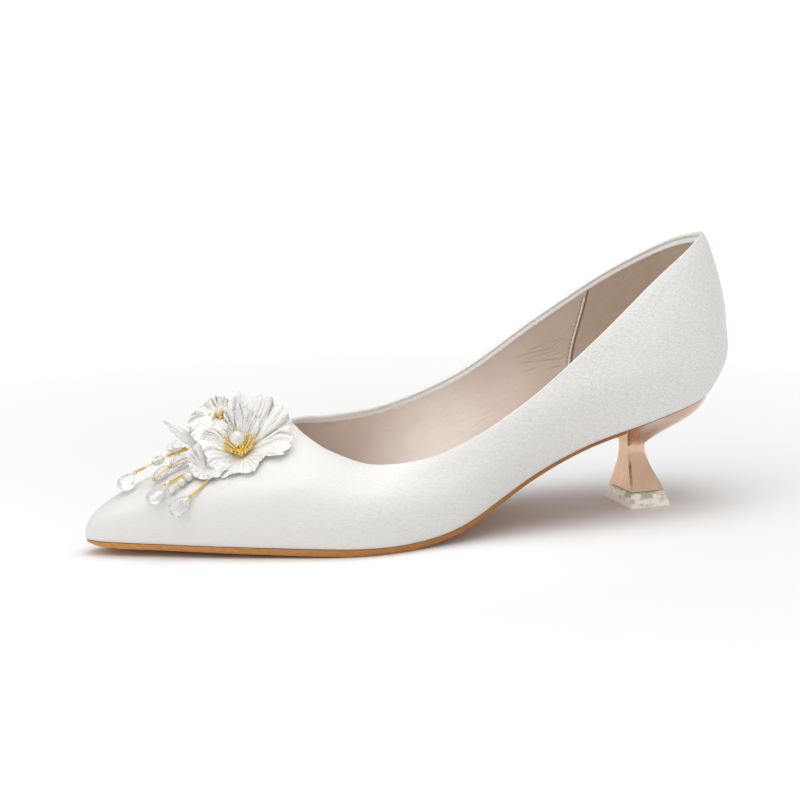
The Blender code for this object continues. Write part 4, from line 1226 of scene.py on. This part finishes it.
def makeBeads(long, small):
    for name, row in beads.items():
        addPiece(name + "_strung", roundBead(*row), "crystal" if name == "bead_clear" else "pearl", [name])
    addPiece("pearl_middle", roundBead(*small["pearl"]), "pearl")
    own, ridge = wirePath(long["strand"]), wirePath(strandWires["wire_ridge"])
    barrels = [longBead(own, *row, long) for row in long["own"]]
    barrels += [longBead(ridge, *row, long) for row in long["ridge"]] + [roundBead(*long["clear"], 28)]
    addPiece("long_beads", joinMeshes("long_beads", barrels), "crystal")
    strings = ((own, long["wire"]), (wirePath(small["wire"]), small["radius"]))
    parts = [tubeMesh(path, radius, goldSides["wire"]) for path, radius in strings]
    for share, radius in long["spacers"]:
        parts.append(ballMesh(alongPath(own, [share])[0], radius, goldSides["crumb"]))
    addPiece("bead_wires", joinMeshes("bead_wires", parts), "gold")


makeWires(wireBar)
makeDrops(dropCut)
makeBeads(longBeads, smallStrand)
print("strands done")

# stage: pale floor, soft lights, camera at the photograph's angle
camera = dict(azimuth=-22.45, elevation=11.9, distance=0.9, target=(115.0, 0.0, 46.45),
              focal=2519.19, width=800, sensor=36.0, near=0.01)  # focal and width in pixels
softLights = (
    dict(name="key", place=(-0.60, -0.45, 1.25), size=0.8, watts=1.9),
    dict(name="top", place=(0.05, -0.05, 1.4), size=0.9, watts=7.4),
    dict(name="fill", place=(-0.8, -1.3, 0.35), size=1.2, watts=2.8),
    dict(name="side", place=(0.9, -1.1, 0.6), size=1.2, watts=0.9),
    dict(name="toe", place=(-0.30, -0.07, 0.23), size=0.2, watts=0.19),
    dict(name="inside", place=(0.02, 0.0, 0.21), size=0.1, watts=0.06),
)
worldLight = dict(colour=white, strength=0.50)
# the floor glows a little more further off, so that it stays pale up to the frame's edge; the cloud
# is in mm, the other lengths in metres
paleFloor = dict(halfSize=40.0, cells=8, cloud=400.0, shades=(0.88, 0.90),
                 glowFrom=0.11, glowTo=1.0, glow=0.8)


def makeFloor(size):
    bm = bmesh.new()
    bmesh.ops.create_grid(bm, x_segments=size["cells"], y_segments=size["cells"], size=size["halfSize"])
    made, tree, shader = newLook("pale_floor", {
        "Roughness": 0.8, "Specular IOR Level": 0.2, "Emission Color": (*white, 1.0)})
    dark, light = size["shades"]
    cloud = pattern(tree, objectPlace(tree), (size["cloud"],) * 3)
    colour = shades(tree, cloud, ((0.3, dark, dark, dark), (0.7, light, light, light)))
    tree.links.new(colour, shader.inputs["Base Color"])
    away = node(tree, "VectorMath", {0: objectPlace(tree)}, operation="LENGTH").outputs["Value"]
    glow = ranged(tree, away, (size["glowFrom"], size["glowTo"]), (0.0, size["glow"]))
    tree.links.new(glow, shader.inputs["Emission Strength"])
    mesh = toMesh(bm, "floor")
    mesh.materials.append(made)
    floor = inScene("floor", mesh)


def makeLights(target):
    for light in softLights:
        data = bpy.data.lights.new(light["name"], "AREA")
        data.energy = light["watts"]
        data.size = light["size"]
        lamp = inScene(light["name"], data)
        lamp.location = light["place"]
        lamp.visible_camera = False
        lamp.rotation_euler = (target - lamp.location).to_track_quat("-Z", "Y").to_euler()
    world = bpy.data.worlds.new("studio")
    world.use_nodes = True
    sky = world.node_tree.nodes["Background"]
    sky.inputs["Color"].default_value = (*worldLight["colour"], 1.0)
    sky.inputs["Strength"].default_value = worldLight["strength"]
    bpy.context.scene.world = world


def makeCamera(size):
    azimuth, elevation = math.radians(size["azimuth"]), math.radians(size["elevation"])
    back = Vector((math.sin(azimuth) * math.cos(elevation), -math.cos(azimuth) * math.cos(elevation),
                   math.sin(elevation)))
    target = Vector((np.array(size["target"]) - origin) * mm)
    data = bpy.data.cameras.new("photo_camera")
    data.sensor_width = size["sensor"]
    data.lens = size["sensor"] * size["focal"] / size["width"]
    data.clip_start = size["near"]
    lens = inScene("photo_camera", data)
    lens.location = target + back * size["distance"]
    lens.rotation_euler = (-back).to_track_quat("-Z", "Y").to_euler()
    bpy.context.scene.camera = lens
    return target


makeFloor(paleFloor)
makeLights(makeCamera(camera))
bpy.context.scene.view_settings.view_transform = "Standard"
print("stage done")
